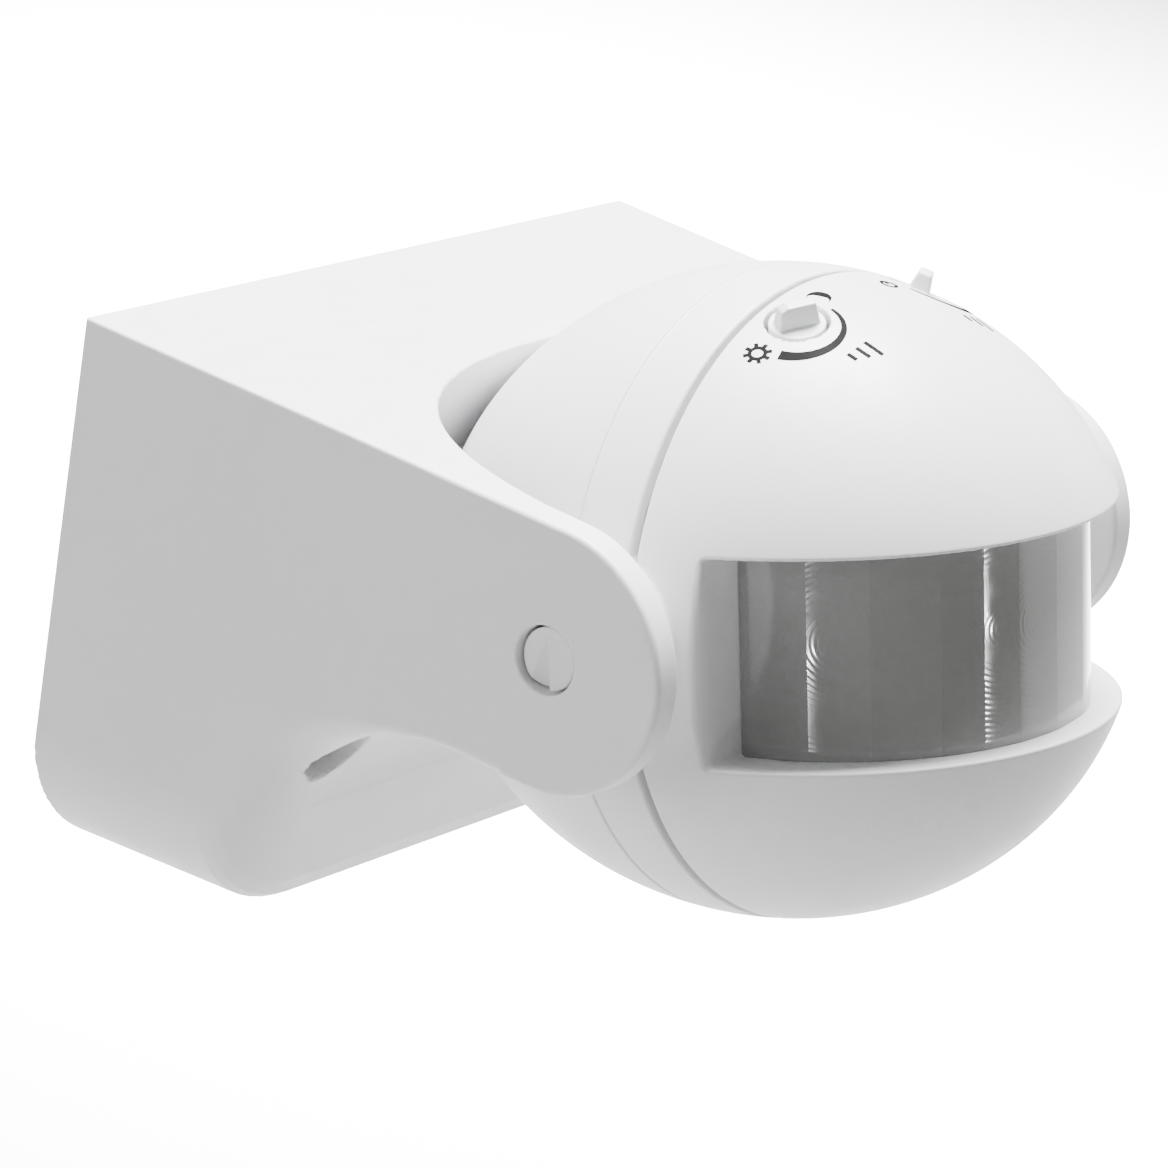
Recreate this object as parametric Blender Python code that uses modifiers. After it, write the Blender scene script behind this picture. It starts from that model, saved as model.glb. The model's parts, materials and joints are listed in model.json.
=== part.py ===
"""Wall-mounted motion sensor: a ball head that tilts between the fork ears of a wedge-shaped bracket.

World frame: the wall is the plane y = 0, the sensor looks along -Y, +Z is up, and the origin is the
middle of the wall plate's back. The head is built in its own frame, whose origin is the tilt axis,
and an empty tilts that frame.
"""

import math

import bmesh
import bpy
from mathutils import Euler, Matrix, Vector

MM = 0.001
GAP = 0.3 * MM
FORWARD = Vector((0, -1, 0))

# Bracket
BODY_WIDTH = 64.0 * MM
BODY_WALL = 2.2 * MM
SIDE_DRAFT = math.tan(math.radians(1.9))
PIVOT = Vector((0, -47.3, 13.0)) * MM
EAR_RADIUS = 10.15 * MM
EAR_INNER = 27.7 * MM
TOP_Z = PIVOT.z + EAR_RADIUS
BOTTOM_BACK_Z = -23.5 * MM
BOTTOM_FRONT_Z = -21.75 * MM
BOX_DEPTH = 18.2 * MM
SCOOP_RADIUS = 19.1 * MM
SCOOP_CENTRE_Y = -41.0 * MM
SCOOP_SWEEP = math.radians(68.7)
CORNER_BACK = 12.3 * MM
CORNER_FRONT = 11.7 * MM
EDGE_RADIUS = 0.8 * MM
POCKET_REACH = 27.1 * MM
POCKET_POWER = 2.5
PIVOT_HOLE_RADIUS = 2.6 * MM
ACCESS_X = 25.5 * MM
ACCESS_Z = -4.9 * MM
ACCESS_RADIUS = 2.4 * MM
LEAD_HOLE_RADIUS = 2.6 * MM
LEAD_RADIUS = 1.4 * MM

# Wall plate
PLATE_THICKNESS = 2.8 * MM
PLATE_CLEARANCE = 0.6 * MM
CABLE_Z = -11.0 * MM
CABLE_HOLE_RADIUS = 5.5 * MM
SLOT_HALF_WIDTH = 1.95 * MM
SLOT_HALF_LENGTH = 4.0 * MM
SIDE_SLOT = Vector((17, 0, -13)) * MM
TOP_SLOT = Vector((0, 0, 14)) * MM
CLAMP_POST = Vector((9, 0, -4)) * MM
TERMINAL_PITCH = 8.0 * MM
TERMINAL_Z = 5.0 * MM

# Head, in its own frame
HEAD_TILT = math.radians(-13.75)
BALL_X = 24.85 * MM
BALL_FRONT = 27.9 * MM
BALL_REAR = 28.75 * MM
BALL_TOP = 25.45 * MM
BALL_BOTTOM = 24.85 * MM
BALL_CENTRE = Vector((0, 1.6, -1.5)) * MM
BALL_CLEARANCE = 0.7 * MM
SHELL_WALL = 2.2 * MM
REAR_RIM_Y = -2.3 * MM
FRONT_RIM_Y = -2.7 * MM
LENS_CENTRE_Y = -4.7 * MM
LENS_RADIUS = 18.0 * MM
LENS_THICKNESS = 0.9 * MM
LENS_SWEEP = math.radians(86)
LENS_MIDDLE_Z = -1.1 * MM
LIP_Z = -8.9 * MM
VISOR_Z = 6.7 * MM
WINDOW_Y = -7.75 * MM
SHELF = 1.8 * MM
OPENING_HALF_WIDTH = 16.8 * MM
BOSS_RADIUS = 6.5 * MM
BOSS_INNER = 21.5 * MM
PIN_RADIUS = 2.5 * MM
PIN_TIP = 30.0 * MM
SHELL_SCREW = Vector((10, 0, -16)) * MM
POST = Vector((14.5, 0, 6)) * MM
BOARD_FRONT_Y = 1.0 * MM
BOARD_THICKNESS = 1.6 * MM

# Knobs: a point on the visor for the +X one, and the outward direction of its axis
KNOB_POINT = Vector((7.7, -5.9, 21.75)) * MM
KNOB_AXIS = Vector((0.318, -0.246, 0.915)).normalized()
KNOB_RADIUS = 2.15 * MM
KNOB_HOLE_RADIUS = 2.45 * MM

ROUND_SIDES = 20
BALL_SEGMENTS = 36
BALL_RINGS = 20
FAR = 45.0 * MM


# Scene, collections and materials


def clear_scene():
    for obj in list(bpy.data.objects):
        bpy.data.objects.remove(obj, do_unlink=True)


def new_collection(name):
    collection = bpy.data.collections.new(name)
    bpy.context.scene.collection.children.link(collection)
    return collection


def new_material(name, colour, roughness, metallic=0.0):
    material = bpy.data.materials.new(name)
    material.use_nodes = True
    shader = material.node_tree.nodes["Principled BSDF"]
    shader.inputs["Base Color"].default_value = (*colour, 1.0)
    shader.inputs["Roughness"].default_value = roughness
    shader.inputs["Metallic"].default_value = metallic
    return material


clear_scene()
PARTS = new_collection("motion_sensor")
CUTTERS = new_collection("cutters")

HOUSING_WHITE = new_material("housing_white", (0.86, 0.86, 0.87), 0.45)
LENS_GREY = new_material("lens_grey", (0.22, 0.22, 0.22), 0.15)
KNOB_WHITE = new_material("knob_white", (0.80, 0.82, 0.82), 0.35)
SEAL_GREY = new_material("seal_grey", (0.30, 0.30, 0.31), 0.80)
GROMMET_BLACK = new_material("grommet_black", (0.03, 0.03, 0.03), 0.70)
FRAME_WHITE = new_material("frame_white", (0.75, 0.75, 0.74), 0.50)
BOARD_GREEN = new_material("board_green", (0.05, 0.22, 0.09), 0.45)
CHIP_BLACK = new_material("chip_black", (0.02, 0.02, 0.02), 0.40)
CAN_METAL = new_material("can_metal", (0.75, 0.74, 0.70), 0.25, 1.0)
FILTER_DARK = new_material("filter_dark", (0.05, 0.04, 0.05), 0.10)
LAMP_RED = new_material("lamp_red", (0.60, 0.03, 0.02), 0.20)
CELL_TAN = new_material("cell_tan", (0.70, 0.42, 0.25), 0.40)
RELAY_BLUE = new_material("relay_blue", (0.05, 0.18, 0.50), 0.45)
FILM_YELLOW = new_material("film_yellow", (0.75, 0.55, 0.08), 0.45)
SLEEVE_BLACK = new_material("sleeve_black", (0.04, 0.04, 0.06), 0.35)
DISC_BLUE = new_material("disc_blue", (0.06, 0.25, 0.45), 0.35)
TRIMMER_BLUE = new_material("trimmer_blue", (0.08, 0.20, 0.48), 0.40)
TERMINAL_GREY = new_material("terminal_grey", (0.55, 0.56, 0.55), 0.45)
SCREW_STEEL = new_material("screw_steel", (0.66, 0.65, 0.62), 0.30, 1.0)
LEAD_BROWN = new_material("lead_brown", (0.20, 0.10, 0.05), 0.45)


# Shapes


def add_object(name, bm, material=None, parent=None):
    """Makes an object from bm: a part if it has a material, otherwise a cutter."""
    bmesh.ops.recalc_face_normals(bm, faces=bm.faces)
    mesh = bpy.data.meshes.new(name)
    bm.to_mesh(mesh)
    bm.free()
    mesh.shade_smooth()
    mesh.set_sharp_from_angle(angle=math.radians(30))
    obj = bpy.data.objects.new(name, mesh)
    obj.parent = parent
    if material:
        mesh.materials.append(material)
        PARTS.objects.link(obj)
    else:
        CUTTERS.objects.link(obj)
        obj.hide_render = True
        obj.display_type = "WIRE"
    return obj


def box_mesh(low, high):
    """A box between two corners."""
    bm = bmesh.new()
    low, high = Vector(low), Vector(high)
    size = high - low
    place = Matrix.Translation((low + high) / 2) @ Matrix.Diagonal((*size, 1))
    bmesh.ops.create_cube(bm, size=1.0, matrix=place)
    return bm


def rod_mesh(start, end, radius, sides=ROUND_SIDES):
    """A closed cylinder from start to end."""
    bm = bmesh.new()
    along = Vector(end) - Vector(start)
    turn = along.to_track_quat("Z", "Y").to_matrix().to_4x4()
    place = Matrix.Translation((Vector(start) + Vector(end)) / 2) @ turn
    bmesh.ops.create_cone(
        bm,
        cap_ends=True,
        segments=sides,
        radius1=radius,
        radius2=radius,
        depth=along.length,
        matrix=place,
    )
    return bm


def loft_mesh(loops, closed=False):
    """Skins loops of equal numbers of points: capped at both ends, or joined end to start."""
    bm = bmesh.new()
    rings = [[bm.verts.new(point) for point in loop] for loop in loops]
    pairs = list(zip(rings, rings[1:] + rings[:1]))
    if not closed:
        pairs.pop()
        bm.faces.new(rings[0])
        bm.faces.new(rings[-1][::-1])
    for ring, following in pairs:
        count = len(ring)
        for i in range(count):
            j = (i + 1) % count
            bm.faces.new((ring[i], following[i], following[j], ring[j]))
    return bm


def modify(obj, operation, *others):
    for other in others:
        modifier = obj.modifiers.new(f"{operation.lower()}_{other.name}", "BOOLEAN")
        modifier.operation = operation
        modifier.object = other
        modifier.solver = "EXACT"


def cut(obj, *cutters):
    modify(obj, "DIFFERENCE", *cutters)


def join(obj, *additions):
    modify(obj, "UNION", *additions)


def soften(obj, width, segments=2):
    """Rounds the sharp edges of a part."""
    modifier = obj.modifiers.new("rounded_edges", "BEVEL")
    modifier.width = width
    modifier.segments = segments
    modifier.limit_method = "ANGLE"
    modifier.angle_limit = math.radians(40)


def add_box(name, low, high, material=None, parent=None, edge=0.0):
    """A box part or cutter between two corners given in millimetres."""
    obj = add_object(name, box_mesh(Vector(low) * MM, Vector(high) * MM), material, parent)
    if edge:
        soften(obj, edge)
    return obj


def add_rod(name, start, end, radius, material=None, parent=None, sides=ROUND_SIDES):
    return add_object(name, rod_mesh(start, end, radius, sides), material, parent)


def label_of(side):
    return "left" if side < 0 else "right"


def add_turned(name, profile, material, place, parent=None, steps=20):
    """Turns a profile of (radius, height) pairs in millimetres, listed top to bottom, about local Z."""
    bm = bmesh.new()
    points = [bm.verts.new((radius * MM, 0, height * MM)) for radius, height in profile]
    for first, second in zip(points, points[1:]):
        bm.edges.new((first, second))
    mesh = bpy.data.meshes.new(name)
    bm.to_mesh(mesh)
    bm.free()
    obj = bpy.data.objects.new(name, mesh)
    mesh.materials.append(material)
    obj.parent = parent
    obj.matrix_basis = place
    PARTS.objects.link(obj)
    screw = obj.modifiers.new("turned", "SCREW")
    screw.axis = "Z"
    screw.steps = steps
    screw.render_steps = steps
    screw.use_merge_vertices = True
    screw.merge_threshold = 0.00001
    screw.use_smooth_shade = True
    return obj


def facing(position, direction):
    """A placement whose local +Z points along direction."""
    turn = Vector(direction).to_track_quat("Z", "Y").to_matrix().to_4x4()
    return Matrix.Translation(position) @ turn


def rounded_rectangle(half_width, top, bottom, top_radius, bottom_radius, y, steps=6):
    """A rounded rectangle across the sensor, at depth y, anticlockwise from the top right."""
    corners = (
        (half_width, top, top_radius, 0),
        (-half_width, top, top_radius, 90),
        (-half_width, bottom, bottom_radius, 180),
        (half_width, bottom, bottom_radius, 270),
    )
    points = []
    for x, z, radius, start in corners:
        centre_x = x - math.copysign(radius, x)
        centre_z = z - radius if start < 180 else z + radius
        for step in range(steps + 1):
            angle = math.radians(start + 90 * step / steps)
            across, up = radius * math.cos(angle), radius * math.sin(angle)
            points.append(Vector((centre_x + across, y, centre_z + up)))
    return points


# Bracket housing


def underside(y):
    """The height of the bracket's underside at depth y: box, sloped front, concave scoop, ear."""
    scoop_end_y = SCOOP_CENTRE_Y + SCOOP_RADIUS * math.sin(SCOOP_SWEEP)
    scoop_centre_z = PIVOT.z - EAR_RADIUS - SCOOP_RADIUS
    scoop_end_z = scoop_centre_z + SCOOP_RADIUS * math.cos(SCOOP_SWEEP)
    if y >= -BOX_DEPTH:
        return BOTTOM_BACK_Z + (BOTTOM_FRONT_Z - BOTTOM_BACK_Z) * (-y / BOX_DEPTH)
    if y >= scoop_end_y:
        share = (-BOX_DEPTH - y) / (-BOX_DEPTH - scoop_end_y)
        return BOTTOM_FRONT_Z + (scoop_end_z - BOTTOM_FRONT_Z) * share
    if y >= SCOOP_CENTRE_Y:
        return scoop_centre_z + math.sqrt(SCOOP_RADIUS**2 - (y - SCOOP_CENTRE_Y) ** 2)
    if y >= PIVOT.y:
        return PIVOT.z - EAR_RADIUS
    return PIVOT.z - math.sqrt(max(EAR_RADIUS**2 - (y - PIVOT.y) ** 2, 0))


def topside(y):
    if y >= PIVOT.y:
        return TOP_Z
    return PIVOT.z + math.sqrt(max(EAR_RADIUS**2 - (y - PIVOT.y) ** 2, 0))


def corner_radius(y):
    """The lower corners are wide at the wall and shrink to a plain edge at the ears."""
    if y >= -BOX_DEPTH:
        return CORNER_BACK + (CORNER_FRONT - CORNER_BACK) * (-y / BOX_DEPTH)
    share = min((-BOX_DEPTH - y) / SCOOP_RADIUS, 1)
    return EDGE_RADIUS + (CORNER_FRONT - EDGE_RADIUS) * (1 - share) ** 2


def body_section(y, inset, at=None):
    """The bracket's section at depth y, shrunk by inset, and placed at another depth if one is given."""
    top, bottom = topside(y) - inset, underside(y) + inset
    radius = max(corner_radius(y) - inset, EDGE_RADIUS / 2)
    half_height = (top - bottom) / 2
    top_radius = min(EDGE_RADIUS, half_height * 0.9)
    radius = min(radius, half_height * 0.9)
    depth = y if at is None else at
    half_width = BODY_WIDTH / 2 + y * SIDE_DRAFT - inset
    return rounded_rectangle(half_width, top, bottom, top_radius, radius, depth)


def body_depths():
    """The depths of the bracket's sections, closer together where its outline turns."""
    depths = [0.0, -BOX_DEPTH / 2, -BOX_DEPTH, -BOX_DEPTH - 1.7 * MM, -BOX_DEPTH - 3.4 * MM]
    scoop_steps = 10
    for step in range(scoop_steps + 1):
        angle = SCOOP_SWEEP * (1 - step / scoop_steps)
        depths.append(SCOOP_CENTRE_Y + SCOOP_RADIUS * math.sin(angle))
    ear_steps = 12
    for step in range(ear_steps):
        angle = math.radians(84) * step / (ear_steps - 1)
        depths.append(PIVOT.y - EAR_RADIUS * math.sin(angle))
    return depths


def pocket_radius(x):
    """The distance of the pocket's wall from the tilt axis, at a place along that axis."""
    share = min(abs(x) / EAR_INNER, 1)
    reach = POCKET_REACH * (1 - share**POCKET_POWER) ** (1 / POCKET_POWER)
    return math.hypot(reach, EAR_RADIUS)


def pocket_mesh(grow):
    """The round pocket for the head: a body turned about the tilt axis."""
    stations = 18
    loops = []
    for i in range(stations + 1):
        x = (EAR_INNER + grow) * math.cos(math.pi * i / stations)
        radius = pocket_radius(x * EAR_INNER / (EAR_INNER + grow)) + grow
        loop = []
        for k in range(BALL_SEGMENTS):
            angle = math.tau * k / BALL_SEGMENTS
            forward, up = radius * math.cos(angle), radius * math.sin(angle)
            loop.append(Vector((x, PIVOT.y + forward, PIVOT.z + up)))
        loops.append(loop)
    return loft_mesh(loops)


def build_housing():
    outer = loft_mesh([body_section(y, 0.0) for y in body_depths()])
    housing = add_object("bracket_housing", outer, HOUSING_WHITE)

    cavity_sections = [body_section(0.0, BODY_WALL, at=1 * MM)]
    for y in body_depths():
        if y > -BOX_DEPTH:
            cavity_sections.append(body_section(y, BODY_WALL))
        elif y > -32 * MM:
            cavity_sections.append(body_section(y, BODY_WALL, at=y + 2 * MM))
    cavity = add_object("cut_cavity", loft_mesh(cavity_sections))
    cut(cavity, add_object("cut_pocket_wall", pocket_mesh(BODY_WALL)))

    fork = box_mesh((-EAR_INNER, -2 * FAR, -FAR), (EAR_INNER, PIVOT.y, FAR))
    tools = [add_object("cut_pocket", pocket_mesh(0.0)), add_object("cut_fork", fork)]
    for side in (-1, 1):
        label = label_of(side)
        axis_x = side * ACCESS_X
        tube_ends = (axis_x, -7 * MM, ACCESS_Z), (axis_x, -34 * MM, ACCESS_Z)
        cut(cavity, add_rod(f"keep_tube_{label}", *tube_ends, ACCESS_RADIUS + 1.6 * MM))
        passage_ends = (axis_x, -9.5 * MM, ACCESS_Z), (axis_x, -45 * MM, ACCESS_Z)
        tools.append(add_rod(f"cut_passage_{label}", *passage_ends, ACCESS_RADIUS))
        shank_ends = (axis_x, -5 * MM, ACCESS_Z), (axis_x, -12 * MM, ACCESS_Z)
        tools.append(add_rod(f"cut_shank_{label}", *shank_ends, 1.6 * MM))
        hole_ends = (side * 26 * MM, PIVOT.y, PIVOT.z), (side * 34 * MM, PIVOT.y, PIVOT.z)
        tools.append(add_rod(f"cut_pivot_{label}", *hole_ends, PIVOT_HOLE_RADIUS))
    lead_ends = (0, -12 * MM, PIVOT.z), (0, -24 * MM, PIVOT.z)
    tools.append(add_rod("cut_lead_hole", *lead_ends, LEAD_HOLE_RADIUS))
    cut(housing, cavity, *tools)


# Wall plate and what it carries


def plate_ring(inset, y):
    """The plate's outline, shrunk by inset, at depth y."""
    return body_section(0.0, BODY_WALL + PLATE_CLEARANCE + inset, at=y)


def ring_loops(outer_inset, inner_inset, y_back, y_front):
    """The four loops of a flat ring that follows the plate's outline."""
    return [
        plate_ring(outer_inset, y_back),
        plate_ring(outer_inset, y_front),
        plate_ring(inner_inset, y_front),
        plate_ring(inner_inset, y_back),
    ]


def slot_cutter(name, centre, half_x, half_z):
    """A round-ended fixing slot through the plate, long in whichever direction is larger."""
    radius = 0.98 * min(half_x, half_z)
    loops = []
    for y in (-5 * MM, 2 * MM):
        outline = rounded_rectangle(half_x, half_z, -half_z, radius, radius, y, steps=5)
        loops.append([centre + point for point in outline])
    return add_object(name, loft_mesh(loops))


def clamp_axis(side, y):
    return Vector((side * CLAMP_POST.x, y, CLAMP_POST.z))


def build_wall_plate():
    sheet = loft_mesh([plate_ring(0, 0.0), plate_ring(0, -PLATE_THICKNESS)])
    plate = add_object("wall_plate", sheet, FRAME_WHITE)
    for side in (-1, 1):
        label = label_of(side)
        x = side * ACCESS_X
        boss_ends = (x, -1.5 * MM, ACCESS_Z), (x, -6.7 * MM, ACCESS_Z)
        join(plate, add_rod(f"boss_{label}", *boss_ends, 3.4 * MM))
        pilot_ends = (x, -0.9 * MM, ACCESS_Z), (x, -9 * MM, ACCESS_Z)
        cut(plate, add_rod(f"cut_pilot_{label}", *pilot_ends, 1.5 * MM))
        post_ends = clamp_axis(side, -1.5 * MM), clamp_axis(side, -8.6 * MM)
        join(plate, add_rod(f"post_{label}", *post_ends, 2.6 * MM))
        thread_ends = clamp_axis(side, -2.2 * MM), clamp_axis(side, -10 * MM)
        cut(plate, add_rod(f"cut_thread_{label}", *thread_ends, 1.3 * MM))
        centre = SIDE_SLOT * Vector((side, 1, 1))
        cut(plate, slot_cutter(f"cut_slot_{label}", centre, SLOT_HALF_WIDTH, SLOT_HALF_LENGTH))
    cable_ends = (0, 2 * MM, CABLE_Z), (0, -6 * MM, CABLE_Z)
    cut(plate, slot_cutter("cut_slot_top", TOP_SLOT, SLOT_HALF_LENGTH, SLOT_HALF_WIDTH))
    cut(plate, add_rod("cut_cable_hole", *cable_ends, CABLE_HOLE_RADIUS))
    groove = ring_loops(1.4 * MM, 3.6 * MM, 1 * MM, -1.1 * MM)
    cut(plate, add_object("cut_seal_groove", loft_mesh(groove, closed=True)))

    seal = ring_loops(1.7 * MM, 3.3 * MM, 0.0, -0.8 * MM)
    add_object("wall_seal", loft_mesh(seal, closed=True), SEAL_GREY)

    profile = [(3.4, 0), (7.0, 0), (7.0, -1.1), (5.2, -1.3), (5.2, -4.3), (3.4, -4.3), (3.4, 0)]
    place = facing((0, -4.5 * MM, CABLE_Z), FORWARD)
    add_turned("cable_grommet", profile, GROMMET_BLACK, place)


def build_terminals():
    block = add_box("terminal_block", (-13, -12.5, 0.5), (13, -3.1, 9.5), TERMINAL_GREY)
    screw_profile = [(0, 0), (1.9, 0), (1.9, -2.0), (1.2, -2.2), (1.2, -3.5), (0, -3.5)]
    for pole in range(3):
        x = (pole - 1) * TERMINAL_PITCH
        well = (x, -8 * MM, TERMINAL_Z), (x, -14 * MM, TERMINAL_Z)
        entry = (x, -5.9 * MM, TERMINAL_Z - 6 * MM), (x, -5.9 * MM, TERMINAL_Z + 1.5 * MM)
        cut(block, add_rod(f"cut_well_{pole}", *well, 2.2 * MM))
        cut(block, add_rod(f"cut_entry_{pole}", *entry, 1.6 * MM))
        place = facing((x, -11.8 * MM, TERMINAL_Z), FORWARD)
        add_turned(f"terminal_screw_{pole + 1}", screw_profile, SCREW_STEEL, place)


def build_cable_clamp():
    clamp = add_box("cable_clamp", (-12, -11.2, -6.4), (12, -8.9, -1.6), FRAME_WHITE)
    arch = (0, -7.2 * MM, -10 * MM), (0, -7.2 * MM, 2 * MM)
    cut(clamp, add_rod("cut_arch", *arch, 3.2 * MM))
    profile = [(0, 0), (2.1, 0), (2.3, -0.4), (2.3, -1.2), (1.1, -1.3), (1.1, -9.5), (0, -9.5)]
    for side in (-1, 1):
        label = label_of(side)
        hole = clamp_axis(side, -14 * MM), clamp_axis(side, -6 * MM)
        cut(clamp, add_rod(f"cut_clamp_{label}", *hole, 1.4 * MM))
        place = facing(clamp_axis(side, -12.8 * MM), FORWARD)
        add_turned(f"clamp_screw_{label}", profile, SCREW_STEEL, place)


def build_housing_screws():
    profile = [(0, 0), (1.7, 0), (2.1, -0.4), (2.1, -1.6), (1.35, -1.7), (1.35, -10.2), (0, -10.2)]
    for side in (-1, 1):
        label = label_of(side)
        place = facing((side * ACCESS_X, -11.5 * MM, ACCESS_Z), FORWARD)
        add_turned(f"housing_screw_{label}", profile, SCREW_STEEL, place)


def add_lead(name, points, parent=None):
    """A short bundle of insulated leads along a few points given in millimetres."""
    curve = bpy.data.curves.new(name, "CURVE")
    curve.dimensions = "3D"
    curve.bevel_depth = LEAD_RADIUS
    curve.bevel_resolution = 3
    curve.use_fill_caps = True
    spline = curve.splines.new("POLY")
    spline.points.add(len(points) - 1)
    for point, target in zip(spline.points, points):
        point.co = (*(Vector(target) * MM), 1)
    curve.materials.append(LEAD_BROWN)
    obj = bpy.data.objects.new(name, curve)
    obj.parent = parent
    PARTS.objects.link(obj)


def build_base_leads():
    points = [(0, -8, 9.8), (0, -8.2, 12), (0, -9.5, 13.4), (0, -12, 13.4), (0, -18.3, 13)]
    add_lead("supply_leads_base", points)


# Head


def ball_mesh(inset, room):
    """The head's ball, shrunk by inset, with its poles to the left and right.

    Where the ball comes nearer than room to the pocket's wall, it is drawn in towards the tilt axis.
    """
    bm = bmesh.new()
    bmesh.ops.create_uvsphere(bm, u_segments=BALL_SEGMENTS, v_segments=BALL_RINGS, radius=1.0)
    bmesh.ops.rotate(bm, verts=bm.verts, matrix=Matrix.Rotation(math.radians(90), 3, "Y"))
    for vert in bm.verts:
        x, y, z = vert.co
        depth = BALL_FRONT if y < 0 else BALL_REAR
        height = BALL_TOP if z > 0 else BALL_BOTTOM
        offset = Vector((x * (BALL_X - inset), y * (depth - inset), z * (height - inset)))
        point = BALL_CENTRE + offset
        reach = math.hypot(point.y, point.z)
        limit = pocket_radius(point.x) - room - inset
        if reach > limit:
            point.y *= limit / reach
            point.z *= limit / reach
        vert.co = point
    return bm


def seam_ring(inset, y):
    """The ball's outline at the seam, shrunk by inset, at depth y."""
    scale = math.sqrt(1 - ((BALL_CENTRE.y - y) / BALL_FRONT) ** 2)
    points = []
    for k in range(2 * BALL_RINGS):
        angle = math.pi * k / BALL_RINGS
        height = BALL_TOP if math.sin(angle) > 0 else BALL_BOTTOM
        x = (BALL_X * scale - inset) * math.cos(angle)
        z = BALL_CENTRE.z + (height * scale - inset) * math.sin(angle)
        points.append(Vector((x, y, z)))
    return points


def seam_band(name, outer_inset, inner_inset, y_front, y_back, material=None, parent=None):
    loops = [
        seam_ring(outer_inset, y_front),
        seam_ring(outer_inset, y_back),
        seam_ring(inner_inset, y_back),
        seam_ring(inner_inset, y_front),
    ]
    return add_object(name, loft_mesh(loops, closed=True), material, parent)


def lens_arc(radius, sweep, z, steps=28):
    points = []
    for step in range(steps + 1):
        angle = -sweep + 2 * sweep * step / steps
        x, reach = radius * math.sin(angle), radius * math.cos(angle)
        points.append(Vector((x, LENS_CENTRE_Y - reach, z)))
    return points


def lens_sheet(name, outer, inner, sweep, low, high, material=None, parent=None):
    """A curved upright sheet between two radii about the lens's centre."""
    loops = [lens_arc(outer, sweep, z) + lens_arc(inner, sweep, z)[::-1] for z in (low, high)]
    return add_object(name, loft_mesh(loops), material, parent)


def screw_axis(side, y):
    return Vector((side * SHELL_SCREW.x, y, SHELL_SCREW.z))


def post_axis(side, y):
    return Vector((side * POST.x, y, POST.z))


def knob_frame(side):
    """Placement of a knob: origin on the visor's surface, +Z along the knob's axis."""
    mirror = Vector((side, 1, 1))
    return facing(KNOB_POINT * mirror, KNOB_AXIS * mirror)


def build_rear_shell(head):
    shell = add_object("rear_shell", ball_mesh(0.0, BALL_CLEARANCE), HOUSING_WHITE, head)
    cavity = add_object("cut_rear_cavity", ball_mesh(SHELL_WALL, BALL_CLEARANCE), parent=head)
    front = box_mesh((-FAR, -FAR, -FAR), (FAR, REAR_RIM_Y, FAR))
    front = add_object("cut_front_half", front, parent=head)
    bosses, pins, holes = [], [], []
    for side in (-1, 1):
        label = label_of(side)
        tube = screw_axis(side, -6 * MM), screw_axis(side, 30 * MM)
        post = post_axis(side, 3 * MM), post_axis(side, 30 * MM)
        cut(cavity, add_rod(f"keep_screw_tube_{label}", *tube, 4.2 * MM, parent=head))
        cut(cavity, add_rod(f"keep_post_{label}", *post, 2.4 * MM, parent=head))
        boss = (side * BOSS_INNER, 0, 0), (side * (EAR_INNER - GAP), 0, 0)
        bosses.append(add_rod(f"boss_trunnion_{label}", *boss, BOSS_RADIUS, parent=head))
        pin_ends = (side * 26 * MM, 0, 0), (side * PIN_TIP, 0, 0)
        pin = add_rod(f"pin_{label}", *pin_ends, PIN_RADIUS, parent=head)
        ramp_place = Matrix.Translation((side * PIN_TIP, 2.65 * MM, 2.5 * MM))
        ramp = add_box(f"cut_ramp_{label}", (-1.1, -2.5, -5), (1.1, 2.5, 5), parent=head)
        ramp.matrix_basis = ramp_place @ Matrix.Rotation(side * math.radians(-12), 4, "Y")
        cut(pin, ramp)
        pins.append(pin)
        recess = screw_axis(side, 12 * MM), screw_axis(side, 30 * MM)
        shank = screw_axis(side, -8 * MM), screw_axis(side, 14 * MM)
        thread = post_axis(side, 0), post_axis(side, 13 * MM)
        holes.append(add_rod(f"cut_recess_{label}", *recess, 2.6 * MM, parent=head))
        holes.append(add_rod(f"cut_screw_{label}", *shank, 1.6 * MM, parent=head))
        holes.append(add_rod(f"cut_post_{label}", *thread, 1.0 * MM, parent=head))
    holes.append(add_box("cut_lead_slot", (-2.6, 18, 2), (2.6, 36, 14), parent=head))
    channel = (0.6 * MM, 1.7 * MM, -4 * MM, -1 * MM)
    holes.append(seam_band("cut_seal_channel", *channel, parent=head))
    cut(shell, cavity)
    join(shell, *bosses)
    cut(shell, front)
    join(shell, *pins)
    cut(shell, *holes)

    seam_band("head_seal", 0.85 * MM, 1.45 * MM, -2.5 * MM, -1.3 * MM, SEAL_GREY, head)


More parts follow.
